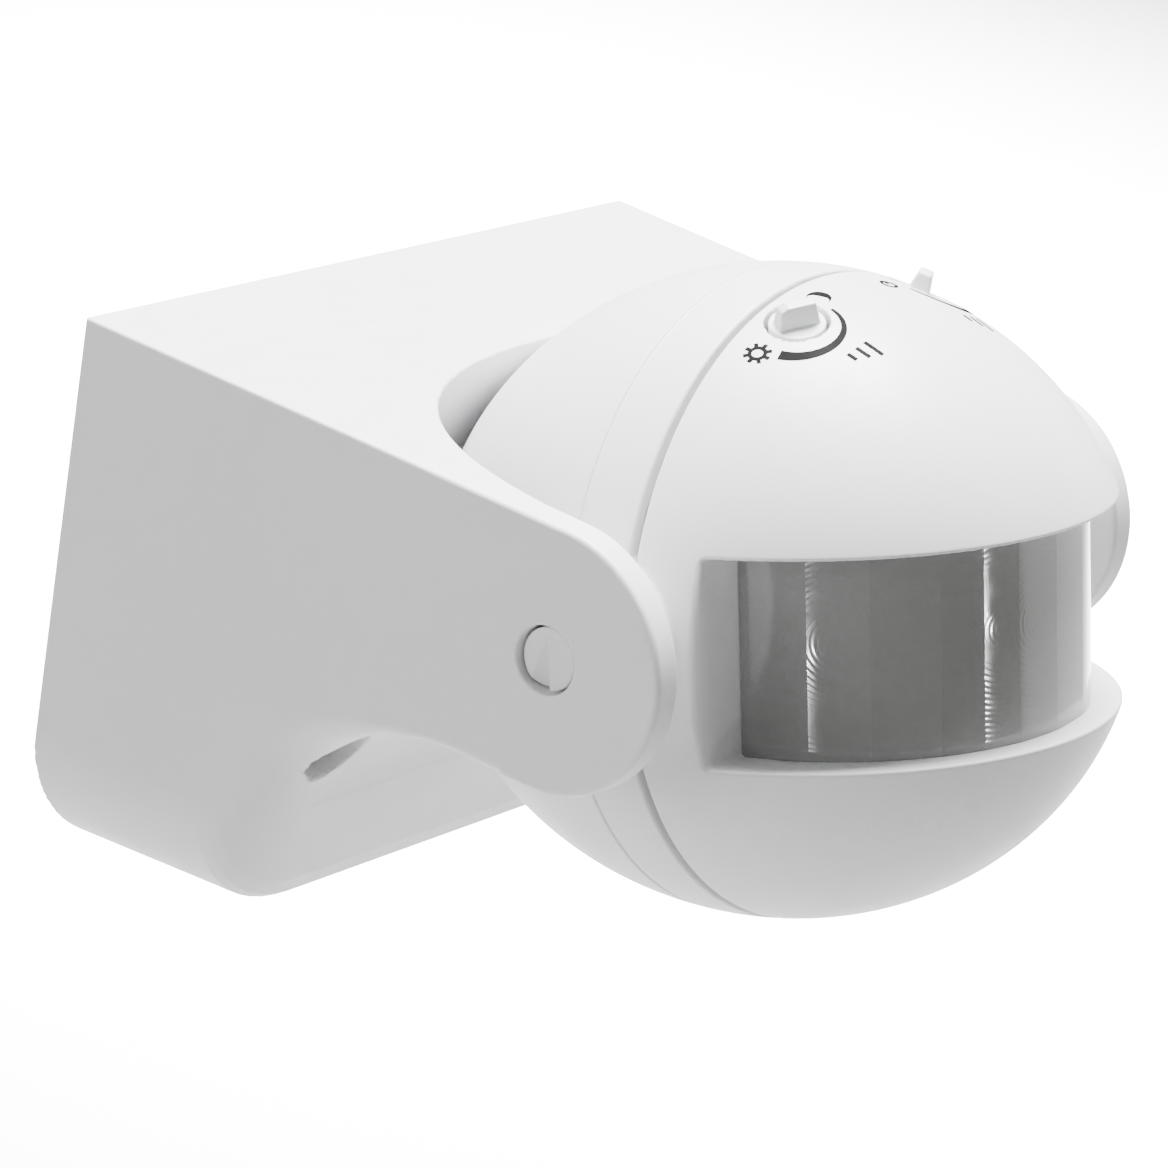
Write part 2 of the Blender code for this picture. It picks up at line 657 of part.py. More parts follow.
def build_front_shell(head):
    shell = add_object("front_shell", ball_mesh(0.0, 0.0), HOUSING_WHITE, head)
    rear = box_mesh((-FAR, FRONT_RIM_Y, -FAR), (FAR, FAR, FAR))
    rear = add_object("cut_rear_half", rear, parent=head)
    cavity = add_object("cut_front_cavity", ball_mesh(SHELL_WALL, 0.0), parent=head)
    keep = box_mesh((-FAR, -FAR, LIP_Z - SHELF), (FAR, WINDOW_Y + SHELF, VISOR_Z + SHELF))
    cut(cavity, add_object("keep_shelves", keep, parent=head))
    window = box_mesh((-FAR, -FAR, LIP_Z), (FAR, WINDOW_Y, VISOR_Z))
    window = add_object("cut_window", window, parent=head)
    opening_low = (-OPENING_HALF_WIDTH, WINDOW_Y - 4 * MM, LIP_Z)
    opening_high = (OPENING_HALF_WIDTH, WINDOW_Y + 4 * MM, VISOR_Z)
    opening = add_object("cut_opening", box_mesh(opening_low, opening_high), parent=head)
    slot = lens_sheet(
        "cut_lens_slot",
        LENS_RADIUS + GAP,
        LENS_RADIUS - LENS_THICKNESS - GAP,
        LENS_SWEEP + math.radians(2),
        LIP_Z - 0.8 * MM,
        VISOR_Z + 0.8 * MM,
        parent=head,
    )
    shoulders, joined, holes = [], [], [opening, slot]
    for side in (-1, 1):
        label = label_of(side)
        shoulder = (side * BOSS_INNER, 0, 0), (side * (EAR_INNER - GAP), 0, 0)
        shoulders.append(add_rod(f"shoulder_{label}", *shoulder, BOSS_RADIUS, parent=head))
        boss = screw_axis(side, -2.9 * MM), screw_axis(side, -13.5 * MM)
        joined.append(add_rod(f"boss_front_{label}", *boss, 3.0 * MM, parent=head))
        pilot = screw_axis(side, -1 * MM), screw_axis(side, -11.5 * MM)
        holes.append(add_rod(f"cut_pilot_front_{label}", *pilot, 1.35 * MM, parent=head))
        knob_hole = rod_mesh((0, 0, -8 * MM), (0, 0, 5 * MM), KNOB_HOLE_RADIUS)
        knob_hole = add_object(f"cut_knob_{label}", knob_hole, parent=head)
        knob_hole.matrix_basis = knob_frame(side)
        holes.append(knob_hole)
    cut(shell, cavity)
    join(shell, *shoulders)
    cut(shell, rear, window)
    join(shell, *joined)
    cut(shell, *holes)


def build_lens(head):
    lens_sheet(
        "fresnel_lens",
        LENS_RADIUS,
        LENS_RADIUS - LENS_THICKNESS,
        LENS_SWEEP,
        LIP_Z - 0.5 * MM,
        VISOR_Z + 0.5 * MM,
        LENS_GREY,
        head,
    )
    frame = add_box("lens_frame", (-19, -5.6, -11.5), (19, -3.9, 8.2), FRAME_WHITE, head)
    cut(frame, add_box("cut_frame_window", (-16.2, -8, -8.3), (16.2, -2, 6.1), parent=head))


def build_boards(head):
    back_y = BOARD_FRONT_Y + BOARD_THICKNESS
    disc = (0, BOARD_FRONT_Y, BALL_CENTRE.z), (0, back_y, BALL_CENTRE.z)
    board = add_rod("main_board", *disc, 18.6 * MM, BOARD_GREEN, head, sides=48)
    profile = [(0, 0), (1.7, 0), (2.0, -0.3), (2.0, -1.1), (0.8, -1.2), (0.8, -9), (0, -9)]
    for side in (-1, 1):
        label = label_of(side)
        relief = screw_axis(side, 0), screw_axis(side, 5 * MM)
        hole = post_axis(side, 0), post_axis(side, 5 * MM)
        cut(board, add_rod(f"cut_relief_{label}", *relief, 4.8 * MM, parent=head))
        cut(board, add_rod(f"cut_board_hole_{label}", *hole, 1.3 * MM, parent=head))
        place = facing(post_axis(side, -0.5 * MM), FORWARD)
        add_turned(f"board_screw_{label}", profile, SCREW_STEEL, place, head)
    add_box("control_board", (-12.5, -9.5, 10.2), (12.5, 0.6, 11.4), BOARD_GREEN, head)
    add_box("board_connector", (-6, -2.0, 7.2), (6, 0.7, 9.9), CHIP_BLACK, head, 0.3 * MM)


def build_components(head):
    profile = [(0, -0.6), (2.2, -0.6), (2.2, 0), (4.3, 0), (4.6, -0.3), (4.6, -3.6)]
    profile += [(4.95, -3.7), (4.95, -4.2), (0, -4.2)]
    place = facing((0, -3.5 * MM, LENS_MIDDLE_Z), FORWARD)
    add_turned("infrared_can", profile, CAN_METAL, place, head, steps=32)

    profile = [(0, 0), (1.9, 0), (1.9, -0.25), (0, -0.25)]
    place = facing((0, -3.55 * MM, LENS_MIDDLE_Z), FORWARD)
    add_turned("infrared_filter", profile, FILTER_DARK, place, head)

    profile = [(0, 0), (2.3, 0), (2.5, -0.2), (2.5, -1.6), (0, -1.6)]
    place = facing((9 * MM, -0.9 * MM, -6 * MM), FORWARD)
    add_turned("photocell", profile, CELL_TAN, place, head)

    profile = [(0, 0), (0.8, -0.2), (1.3, -0.7), (1.5, -1.4), (1.5, -3.4), (1.8, -3.5)]
    profile += [(1.8, -4.3), (0, -4.3)]
    place = facing((-9 * MM, -3.6 * MM, -6 * MM), FORWARD)
    add_turned("status_lamp", profile, LAMP_RED, place, head)

    profile = [(0, -0.3), (3.2, -0.3), (3.5, 0), (4, -0.5), (4, -9.6), (3.7, -10), (4, -10.4)]
    profile += [(4, -11.1), (0, -11.1)]
    place = facing((6.5 * MM, 14 * MM, -5.5 * MM), -FORWARD)
    add_turned("electrolytic_capacitor", profile, SLEEVE_BLACK, place, head)

    profile = [(0, 0), (3.2, 0), (3.8, -0.6), (3.8, -2.4), (3.2, -3), (0, -3)]
    place = facing((1.5 * MM, 7.3 * MM, 13.5 * MM), (1, 0, 0))
    add_turned("varistor", profile, DISC_BLUE, place, head)

    add_box("control_chip", (-3.5, -1.2, -13.5), (3.5, 0.7, -8.5), CHIP_BLACK, head, 0.2 * MM)
    add_box("relay", (-11.5, 2.9, -7), (0.5, 13.5, 8), RELAY_BLUE, head, 0.6 * MM)
    add_box("film_capacitor", (2, 2.9, 1), (10.5, 10, 9.5), FILM_YELLOW, head, 0.6 * MM)


def build_trimmer(name, side, head):
    """A potentiometer under the visor, with its bore on the knob's axis."""
    body = add_box(name, (-3.5, -3.5, -8.4), (3.5, 3.5, -4.4), TRIMMER_BLUE, head)
    for number, x in enumerate((-2.3, 0, 2.3)):
        pin = rod_mesh((x * MM, 0, -8 * MM), (x * MM, 0, -9.6 * MM), 0.35 * MM, 8)
        pin = add_object(f"{name}_pin_{number}", pin, parent=body)
        join(body, pin)
    bore = (0, 0, -7.7 * MM), (0, 0, -3 * MM)
    cut(body, add_rod(f"{name}_bore", *bore, 1.15 * MM, parent=body))
    body.matrix_basis = knob_frame(side)


def build_knob(name, side, turn, head):
    """A knob with a tapered grip: its origin is on its axis, at the visor's surface."""
    disc = (0, 0, -1.6 * MM), (0, 0, -0.3 * MM)
    knob = add_rod(name, *disc, KNOB_RADIUS, KNOB_WHITE, head)
    shaft = (0, 0, -7.3 * MM), (0, 0, -1 * MM)
    shaft = add_rod(f"{name}_shaft", *shaft, 1.05 * MM, parent=knob)
    grip = add_box(f"{name}_grip", (-1.6, -0.85, -0.6), (1.6, 0.85, 1.4), parent=knob)
    for vert in grip.data.vertices:
        if vert.co.z > 0:
            vert.co.x *= 0.85
            vert.co.y *= 0.55
    join(knob, shaft, grip)
    knob.matrix_basis = knob_frame(side) @ Matrix.Rotation(turn, 4, "Z")


def build_shell_screws(head):
    profile = [(0, 0), (1.9, 0), (2.3, -0.4), (2.3, -1.6), (1.25, -1.7), (1.25, -23), (0, -23)]
    for side in (-1, 1):
        label = label_of(side)
        place = facing(screw_axis(side, 13.9 * MM), -FORWARD)
        add_turned(f"shell_screw_{label}", profile, SCREW_STEEL, place, head)


def build_head():
    head = bpy.data.objects.new("head_pivot", None)
    PARTS.objects.link(head)
    head.location = PIVOT
    head.rotation_euler = Euler((HEAD_TILT, 0, 0))
    build_rear_shell(head)
    build_front_shell(head)
    build_lens(head)
    build_boards(head)
    build_components(head)
    build_trimmer("light_trimmer", -1, head)
    build_trimmer("time_trimmer", 1, head)
    build_knob("light_knob", -1, math.radians(20), head)
    build_knob("time_knob", 1, math.radians(-20), head)
    build_shell_screws(head)
    points = [(0, 27, 6.5), (0, 22, 7), (-2, 16, 9.5), (-4, 8, 11), (-4, 3, 11)]
    add_lead("supply_leads_head", points, head)


build_housing()
build_wall_plate()
build_terminals()
build_cable_clamp()
build_housing_screws()
build_base_leads()
build_head()
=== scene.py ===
import json
import math

import bmesh
import bpy
import numpy as np
from mathutils import Matrix, Vector


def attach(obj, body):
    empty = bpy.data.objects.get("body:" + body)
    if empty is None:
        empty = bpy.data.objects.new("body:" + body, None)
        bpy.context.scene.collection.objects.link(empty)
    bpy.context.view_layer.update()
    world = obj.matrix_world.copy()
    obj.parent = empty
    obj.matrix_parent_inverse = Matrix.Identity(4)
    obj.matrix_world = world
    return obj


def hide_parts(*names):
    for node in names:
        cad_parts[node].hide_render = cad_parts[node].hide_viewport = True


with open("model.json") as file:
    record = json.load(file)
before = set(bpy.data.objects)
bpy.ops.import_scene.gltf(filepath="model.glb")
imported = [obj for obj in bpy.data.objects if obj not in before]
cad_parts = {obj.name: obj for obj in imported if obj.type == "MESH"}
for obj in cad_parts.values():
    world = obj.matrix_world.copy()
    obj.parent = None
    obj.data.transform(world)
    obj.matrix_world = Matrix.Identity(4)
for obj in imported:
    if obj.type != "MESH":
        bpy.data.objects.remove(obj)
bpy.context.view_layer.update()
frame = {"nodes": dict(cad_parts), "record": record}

MM = 0.001

# Dimensions in millimetres, with the head's pieces in the head's own frame, about the tilt axis.
# The knobs' turn at rest is in degrees

HALF_WIDTH = 32.0
WALL = 2.2
SIDE_DRAFT = math.tan(math.radians(1.9))
PIVOT_Y, PIVOT_Z = -47.3, 13.0
EAR_RADIUS = 10.15
EAR_INNER = 27.7
TOP_Z = PIVOT_Z + EAR_RADIUS
BOTTOM_BACK_Z = -23.5
BOTTOM_FRONT_Z = -21.75
BOX_DEPTH = 18.2
SCOOP_RADIUS = 19.1
SCOOP_Y = -41.0
SCOOP_Z = PIVOT_Z - EAR_RADIUS - SCOOP_RADIUS
SCOOP_SWEEP = math.radians(68.7)
SCOOP_END_Y = SCOOP_Y + SCOOP_RADIUS * math.sin(SCOOP_SWEEP)
SCOOP_END_Z = SCOOP_Z + SCOOP_RADIUS * math.cos(SCOOP_SWEEP)
CORNER_BACK, CORNER_FRONT, EDGE = 12.3, 11.7, 0.8
POCKET_REACH, POCKET_POWER = 27.1, 2.5
ACCESS_X, ACCESS_Z, ACCESS_RADIUS = 25.5, -4.9, 2.4
HEAD_TILT = math.radians(-13.75)
BALL_CENTRE_Y, BALL_CENTRE_Z = 1.6, -1.5
BALL_X, BALL_FRONT, BALL_REAR, BALL_TOP, BALL_BOTTOM = 24.8, 27.8, 28.7, 25.4, 24.8
REAR_RIM_Y, FRONT_RIM_Y, RIM_ROUND = -2.22, -2.78, 0.22
BOSS_RADIUS, PIN_TIP = 6.5, 29.95
VISOR_Z, LIP_Z, WINDOW_Y = 6.7, -8.9, -7.75
LENS_Y, LENS_RADIUS, LENS_THICKNESS = -4.7, 18.0, 0.9
KNOB_POINT = Vector((7.7, -5.9, 21.75))
KNOB_AXIS = Vector((0.318, -0.246, 0.915)).normalized()
KNOB_RADIUS, KNOB_HOLE_RADIUS = 2.15, 2.45
KNOB_TURN = 20
DISC_LOW, DISC_HIGH = -1.6, -0.3
SHAFT_RADIUS, SHAFT_END = 1.05, -7.3
GRIP_HALF_X, GRIP_HALF_Y, GRIP_LOW, GRIP_TOP = 1.6, 0.85, -0.8, 1.4
CAVITY_FRONT_Y = -34.0
ACCESS_WALL, HOUSING_SCREW_RADIUS = 1.6, 1.6
PIN_RADIUS, PIN_BORE_RADIUS, LEAD_BORE_RADIUS = 2.36, 2.6, 2.6
BOSS_INNER, EAR_GAP = 21.5, 0.3
WINDOW_RIM = 1.8
LENS_OPENING_X, LENS_OPENING_FRONT, LENS_OPENING_BACK = 16.8, -12.0, -4.0
SCREW_X, SCREW_Z = 10.0, -16.0
SCREW_PILOT, SCREW_CLEAR, SCREW_HEAD, SCREW_TUBE, SCREW_BOSS = 1.35, 1.6, 2.6, 4.2, 3.0
POST_X, POST_Z, POST_RADIUS, POST_PILOT = 14.5, 6.0, 2.4, 1.0
GROOVE_Y, GROOVE_RADIUS = 2.67, 0.17
LEAD_SLOT_HALF, LEAD_SLOT_FRONT, LEAD_SLOT_LOW, LEAD_SLOT_HIGH = 2.6, 18.0, 2.0, 14.0
HEAD = Matrix.Translation(Vector((0, PIVOT_Y, PIVOT_Z)) * MM) @ Matrix.Rotation(HEAD_TILT, 4, "X")


# Implicit solids: a field is negative inside, and its value is close to the distance in millimetres


def inter(a, b, r):
    """Intersection of two fields, with the edge between them rounded to radius r."""
    return np.minimum(-r, np.maximum(a, b)) + np.hypot(np.maximum(a + r, 0), np.maximum(b + r, 0))


def cut(a, b, r):
    """Field a with field b taken away, and the new edge rounded to radius r."""
    return inter(a, -b, r)


def join(a, b, r):
    """Both fields together, with a fillet of radius r between them."""
    return -inter(-a, -b, r)


def rod_x(x, y, z, cy, cz, radius, low, high):
    return np.maximum(np.hypot(y - cy, z - cz) - radius, np.maximum(low - x, x - high))


def rod_y(x, y, z, cx, cz, radius, low, high):
    return np.maximum(np.hypot(x - cx, z - cz) - radius, np.maximum(low - y, y - high))


def smooth(a, b, v):
    """A gentle step from 0 where v is a to 1 where v is b."""
    t = np.clip((v - a) / (b - a), 0, 1)
    return t * t * (3 - 2 * t)


def grid_lines(low, high, step, *fine):
    """Grid planes from low to high, closer together near each fine place: (place, reach, step there)."""
    places = [low]
    while places[-1] < high:
        v, h = places[-1], step
        for place, reach, small in fine:
            h = min(h, small + 0.4 * max(abs(v + small - place) - reach, 0))
        places.append(v + h)
    return np.array(places)


def surface_net(field, xs, ys, zs):
    """Quads on the zero surface of a field sampled on a rectilinear grid, with its points and normals."""
    gx, gy, gz = np.meshgrid(xs, ys, zs, indexing="ij")
    values = field(gx, gy, gz)
    inside = values < 0
    shape = tuple(n - 1 for n in values.shape)
    total = np.zeros(shape + (3,))
    count = np.zeros(shape)
    corners = [(i, j, k) for i in (0, 1) for j in (0, 1) for k in (0, 1)]

    def part(array, corner):
        return array[tuple(slice(c, c + n) for c, n in zip(corner, shape))]

    for first in corners:
        for axis in range(3):
            if first[axis]:
                continue
            second = tuple(1 if a == axis else c for a, c in enumerate(first))
            crossing = part(inside, first) != part(inside, second)
            va, vb = part(values, first), part(values, second)
            t = np.where(crossing, va / np.where(crossing, va - vb, 1), 0)
            for a, g in enumerate((gx, gy, gz)):
                pa, pb = part(g, first), part(g, second)
                total[..., a] += np.where(crossing, pa + (pb - pa) * t, 0)
            count += crossing
    used = count > 0
    index = np.full(shape, -1)
    index[used] = np.arange(used.sum())
    points = total[used] / count[used][:, None]

    quads = []
    for axis in range(3):
        ahead = [slice(None)] * 3
        behind = [slice(None)] * 3
        ahead[axis], behind[axis] = slice(1, None), slice(None, -1)
        start, end = inside[tuple(behind)], inside[tuple(ahead)]
        place = np.argwhere(start != end)
        others = [a for a in range(3) if a != axis]
        keep = np.all([(place[:, a] > 0) & (place[:, a] < shape[a]) for a in others], axis=0)
        place = place[keep]
        flip = start[tuple(place.T)]
        ring = []
        for da, db in ((-1, -1), (0, -1), (0, 0), (-1, 0)):
            cell = place.copy()
            cell[:, others[0]] += da
            cell[:, others[1]] += db
            ring.append(index[tuple(cell.T)])
        quad = np.stack(ring, 1)
        turn = flip if axis != 1 else ~flip
        quad[~turn] = quad[~turn][:, ::-1]
        quads.append(quad)
    quads = np.concatenate(quads)

    def slope(p):
        e = 0.01
        columns = []
        for a in range(3):
            up, down = p.copy(), p.copy()
            up[:, a] += e
            down[:, a] -= e
            columns.append((field(*up.T) - field(*down.T)) / (2 * e))
        return np.stack(columns, 1)

    for _ in range(4):
        g = slope(points)
        move = field(*points.T)[:, None] * g / np.maximum((g * g).sum(1), 0.25)[:, None]
        length = np.maximum(np.linalg.norm(move, axis=1), 1e-9)
        points -= move * np.minimum(1, 0.25 / length)[:, None]
    normals = slope(points)
    normals /= np.maximum(np.linalg.norm(normals, axis=1), 1e-9)[:, None]
    return points, quads, normals


def add_object(name, data):
    obj = bpy.data.objects.new(name, data)
    bpy.context.scene.collection.objects.link(obj)
    return obj


def take_mesh(name, bm):
    """The contents of bm as a mesh; bm is freed."""
    mesh = bpy.data.meshes.new(name)
    bm.to_mesh(mesh)
    bm.free()
    return mesh


def net_object(name, field, xs, ys, zs, place=None):
    """The zero surface of a field as a mesh object. Its points are put in place in world coordinates."""
    points, quads, normals = surface_net(field, xs, ys, zs)
    mesh = bpy.data.meshes.new(name)
    mesh.from_pydata((points * MM).tolist(), [], quads.tolist())
    mesh.shade_smooth()
    mesh.normals_split_custom_set_from_vertices(normals.tolist())
    if place is not None:
        turn = np.array(place.to_3x3())
        mesh.transform(place)
        mesh.normals_split_custom_set_from_vertices((normals @ turn.T).tolist())
    return add_object(name, mesh)


# Bracket housing


def underside(y):
    """The height of the bracket's underside at depth y: box, sloped front, concave scoop, ear."""
    box = BOTTOM_BACK_Z + (BOTTOM_FRONT_Z - BOTTOM_BACK_Z) * (-y / BOX_DEPTH)
    share = (-BOX_DEPTH - y) / (-BOX_DEPTH - SCOOP_END_Y)
    slope = BOTTOM_FRONT_Z + (SCOOP_END_Z - BOTTOM_FRONT_Z) * share
    scoop = SCOOP_Z + np.sqrt(np.maximum(SCOOP_RADIUS**2 - (y - SCOOP_Y) ** 2, 0))
    ear = PIVOT_Z - np.sqrt(np.maximum(EAR_RADIUS**2 - np.minimum(y - PIVOT_Y, 0) ** 2, 0))
    low = np.where(y >= -BOX_DEPTH, box, np.where(y >= SCOOP_END_Y, slope, scoop))
    return np.where(y >= SCOOP_Y, low, ear)


def corner_radius(y):
    share = np.clip((-BOX_DEPTH - y) / SCOOP_RADIUS, 0, 1)
    back = CORNER_BACK + (CORNER_FRONT - CORNER_BACK) * np.clip(-y / BOX_DEPTH, 0, 1)
    return np.where(y >= -BOX_DEPTH, back, EDGE + (CORNER_FRONT - EDGE) * (1 - share) ** 2)


def pocket(x, y, z, grow):
    """The round pocket that the head turns in, about the tilt axis."""
    share = np.minimum(np.abs(x) / (EAR_INNER + grow), 0.9999)
    reach = POCKET_REACH * (1 - share**POCKET_POWER) ** (1 / POCKET_POWER)
    radius = np.hypot(reach, EAR_RADIUS) + grow
    slope = POCKET_REACH * (1 - share**POCKET_POWER) ** (1 / POCKET_POWER - 1) * share ** (POCKET_POWER - 1)
    slope = slope / EAR_INNER * reach / radius
    turned = (np.hypot(y - PIVOT_Y, z - PIVOT_Z) - radius) / np.sqrt(1 + slope**2)
    return np.maximum(turned, np.abs(x) - EAR_INNER - grow)


def flank(x, y, inset):
    """The bracket's sides, which lean inwards from the wall to the ears."""
    return np.abs(x) - (HALF_WIDTH + y * SIDE_DRAFT - inset)


def outline(y, z):
    """The bracket's outline seen from the side."""
    bottom_tilt = math.atan2(BOTTOM_FRONT_Z - BOTTOM_BACK_Z, BOX_DEPTH)
    bottom = (BOTTOM_BACK_Z - z) * math.cos(bottom_tilt) - y * math.sin(bottom_tilt)
    run, rise = BOX_DEPTH + SCOOP_END_Y, SCOOP_END_Z - BOTTOM_FRONT_Z
    length = math.hypot(run, rise)
    ahead = -((y + BOX_DEPTH) * rise - (z - BOTTOM_FRONT_Z) * run) / length
    sloped = np.maximum(-ahead, z - SCOOP_END_Z)
    scoop = np.hypot(y - SCOOP_Y, z - SCOOP_Z) - SCOOP_RADIUS
    below = np.maximum(y - SCOOP_Y, z - (PIVOT_Z - EAR_RADIUS))
    outside = np.minimum(np.minimum(sloped, scoop), below)
    body = inter(inter(z - TOP_Z, y, 0.25), bottom, 0.3)
    body = np.maximum(body, PIVOT_Y - y)
    body = cut(body, outside, 1.1)
    ear = np.hypot(y - PIVOT_Y, z - PIVOT_Z) - EAR_RADIUS
    return np.minimum(body, ear)


def housing_field(x, y, z):
    ax = np.abs(x)
    rim = 0.28 + 0.15 * smooth(-28, -44, y)
    solid = inter(outline(y, z), flank(x, y, 0), rim)
    under = (underside(y - 0.9) + 2 * underside(y) + underside(np.minimum(y + 0.9, 0))) / 4
    radius = np.minimum(corner_radius(y), 0.45 * (TOP_Z - under))
    corner = inter(flank(x, y, 0), under - z, np.maximum(radius, 0.2))
    solid = np.maximum(solid, np.where(y > -45, corner, -9.0))

    floor = underside(y - 2) + WALL
    hollow = inter(flank(x, y, WALL), floor - z, np.maximum(corner_radius(y) - WALL, 0.4))
    hollow = np.maximum(hollow, z - TOP_Z + WALL)
    hollow = np.maximum(hollow, CAVITY_FRONT_Y - y)
    hollow = cut(hollow, pocket(x, y, z, WALL), 0.3)
    tube = rod_y(ax, y, z, ACCESS_X, ACCESS_Z, ACCESS_RADIUS + ACCESS_WALL, CAVITY_FRONT_Y, -7)
    hollow = cut(hollow, tube, 0.3)
    solid = cut(solid, hollow, 0.25)

    fork = np.maximum(ax - EAR_INNER, y - PIVOT_Y)
    solid = cut(solid, np.minimum(pocket(x, y, z, 0.0), fork), 0.35)
    solid = cut(solid, rod_y(ax, y, z, ACCESS_X, ACCESS_Z, ACCESS_RADIUS, -45, -9.5), 0.12)
    solid = cut(solid, rod_y(ax, y, z, ACCESS_X, ACCESS_Z, HOUSING_SCREW_RADIUS, -12, -5), 0.1)
    solid = cut(solid, rod_y(x, y, z, 0, PIVOT_Z, LEAD_BORE_RADIUS, -24, -12), 0.2)
    return cut(solid, rod_x(ax, y, z, PIVOT_Y, PIVOT_Z, PIN_BORE_RADIUS, 26, 36), 0.18)


def build_housing():
    xs = [(side * 31.1, 1.3, 0.22) for side in (-1, 1)]
    xs += [(side * EAR_INNER, 0.6, 0.25) for side in (-1, 1)]
    xs += [(side * ACCESS_X, 3.0, 0.2) for side in (-1, 1)]
    ys = [(0, 0.5, 0.25), (PIVOT_Y, 3.2, 0.25), (PIVOT_Y - EAR_RADIUS, 0.8, 0.3), (-BOX_DEPTH, 1.2, 0.4)]
    ys += [(-33, 4.5, 0.25)]
    zs = [(TOP_Z, 0.8, 0.2), (PIVOT_Z, 3.2, 0.25), (BOTTOM_BACK_Z, 0.4, 0.3), (BOTTOM_FRONT_Z, 0.6, 0.4)]
    zs += [(ACCESS_Z, 3.0, 0.2)]
    return net_object(
        "housing_body",
        housing_field,
        grid_lines(-33, 33, 0.75, *xs),
        grid_lines(-58.4, 1, 0.75, *ys),
        grid_lines(-24.4, 24.4, 0.75, *zs),
    )


# Head shells, in the head's own frame


def ball(x, y, z, inset, limited):
    dy, dz = y - BALL_CENTRE_Y, z - BALL_CENTRE_Z
    ry = np.where(dy < 0, BALL_FRONT, BALL_REAR) - inset
    rz = np.where(dz > 0, BALL_TOP, BALL_BOTTOM) - inset
    rx = BALL_X - inset
    k0 = np.sqrt((x / rx) ** 2 + (dy / ry) ** 2 + (dz / rz) ** 2)
    k1 = np.sqrt((x / rx**2) ** 2 + (dy / ry**2) ** 2 + (dz / rz**2) ** 2)
    d = k0 * (k0 - 1) / np.maximum(k1, 1e-6)
    if limited:
        share = np.minimum(np.abs(x) / EAR_INNER, 0.999)
        reach = POCKET_REACH * (1 - share**POCKET_POWER) ** (1 / POCKET_POWER)
        limit = np.hypot(reach, EAR_RADIUS) - 0.75 - inset
        d = inter(d, np.hypot(y, z) - limit, 0.6)
    return d


def knob_distance(x, y, z, side):
    """Distance from a knob's axis, and height along it from the visor."""
    ax, ay, az = side * KNOB_AXIS.x, KNOB_AXIS.y, KNOB_AXIS.z
    dx, dy, dz = x - side * KNOB_POINT.x, y - KNOB_POINT.y, z - KNOB_POINT.z
    along = dx * ax + dy * ay + dz * az
    return np.sqrt(np.maximum(dx**2 + dy**2 + dz**2 - along**2, 0)), along


def shoulder(x, y, z):
    """The round bosses about the tilt axis, up to the ears."""
    ax = np.abs(x)
    ends = np.maximum(BOSS_INNER - ax, ax - EAR_INNER + EAR_GAP)
    return inter(np.hypot(y, z) - BOSS_RADIUS, ends, 0.25)


def front_field(x, y, z):
    ax = np.abs(x)
    solid = inter(ball(x, y, z, 0, False), y - FRONT_RIM_Y, RIM_ROUND)
    solid = join(solid, np.maximum(shoulder(x, y, z), y - FRONT_RIM_Y), 0.35)
    window = inter(inter(y - WINDOW_Y, z - VISOR_Z, 0.35), LIP_Z - z, 0.35)
    solid = cut(solid, window, 0.3)
    keep = np.maximum(y - WINDOW_Y - WINDOW_RIM, z - VISOR_Z - WINDOW_RIM)
    keep = np.maximum(keep, LIP_Z - WINDOW_RIM - z)
    hollow = np.maximum(ball(x, y, z, WALL, False), -keep)
    solid = cut(solid, hollow, 0.2)
    boss = rod_y(ax, y, z, SCREW_X, SCREW_Z, SCREW_BOSS, -13.5, -2.9)
    solid = join(solid, np.maximum(boss, ball(x, y, z, 0.5, False)), 0.4)
    depth = np.maximum(LENS_OPENING_FRONT - y, y - LENS_OPENING_BACK)
    opening = np.maximum(np.maximum(z - VISOR_Z, LIP_Z - z), depth)
    solid = cut(solid, np.maximum(opening, ax - LENS_OPENING_X), 0.2)
    solid = cut(solid, rod_y(ax, y, z, SCREW_X, SCREW_Z, SCREW_PILOT, -11.5, -1), 0.1)
    side = np.where(x < 0, -1.0, 1.0)
    away, along = knob_distance(x, y, z, side)
    hole = np.maximum(away - KNOB_HOLE_RADIUS, np.maximum(-8 - along, along - 5))
    return cut(solid, hole, 0.12)


def rear_field(x, y, z):
    ax = np.abs(x)
    solid = inter(ball(x, y, z, 0, True), REAR_RIM_Y - y, RIM_ROUND)
    hollow = ball(x, y, z, WALL, True)
    hollow = cut(hollow, rod_y(ax, y, z, SCREW_X, SCREW_Z, SCREW_TUBE, -6, 30), 0.3)
    hollow = cut(hollow, rod_y(ax, y, z, POST_X, POST_Z, POST_RADIUS, 3, 30), 0.3)
    solid = cut(solid, hollow, 0.2)
    solid = join(solid, np.maximum(shoulder(x, y, z), REAR_RIM_Y - y), 0.35)
    groove = np.hypot(y - GROOVE_Y, np.maximum(-ball(x, y, z, 0, True), 0)) - GROOVE_RADIUS
    solid = cut(solid, groove, 0.05)
    solid = cut(solid, rod_y(ax, y, z, SCREW_X, SCREW_Z, SCREW_HEAD, 12, 30), 0.2)
    solid = cut(solid, rod_y(ax, y, z, SCREW_X, SCREW_Z, SCREW_CLEAR, -8, 14), 0.1)
    solid = cut(solid, rod_y(ax, y, z, POST_X, POST_Z, POST_PILOT, 0, 13), 0.1)
    height = np.maximum(LEAD_SLOT_LOW - z, z - LEAD_SLOT_HIGH)
    lead_slot = np.maximum(np.maximum(ax - LEAD_SLOT_HALF, LEAD_SLOT_FRONT - y), height)
    return cut(solid, lead_slot, 0.25)


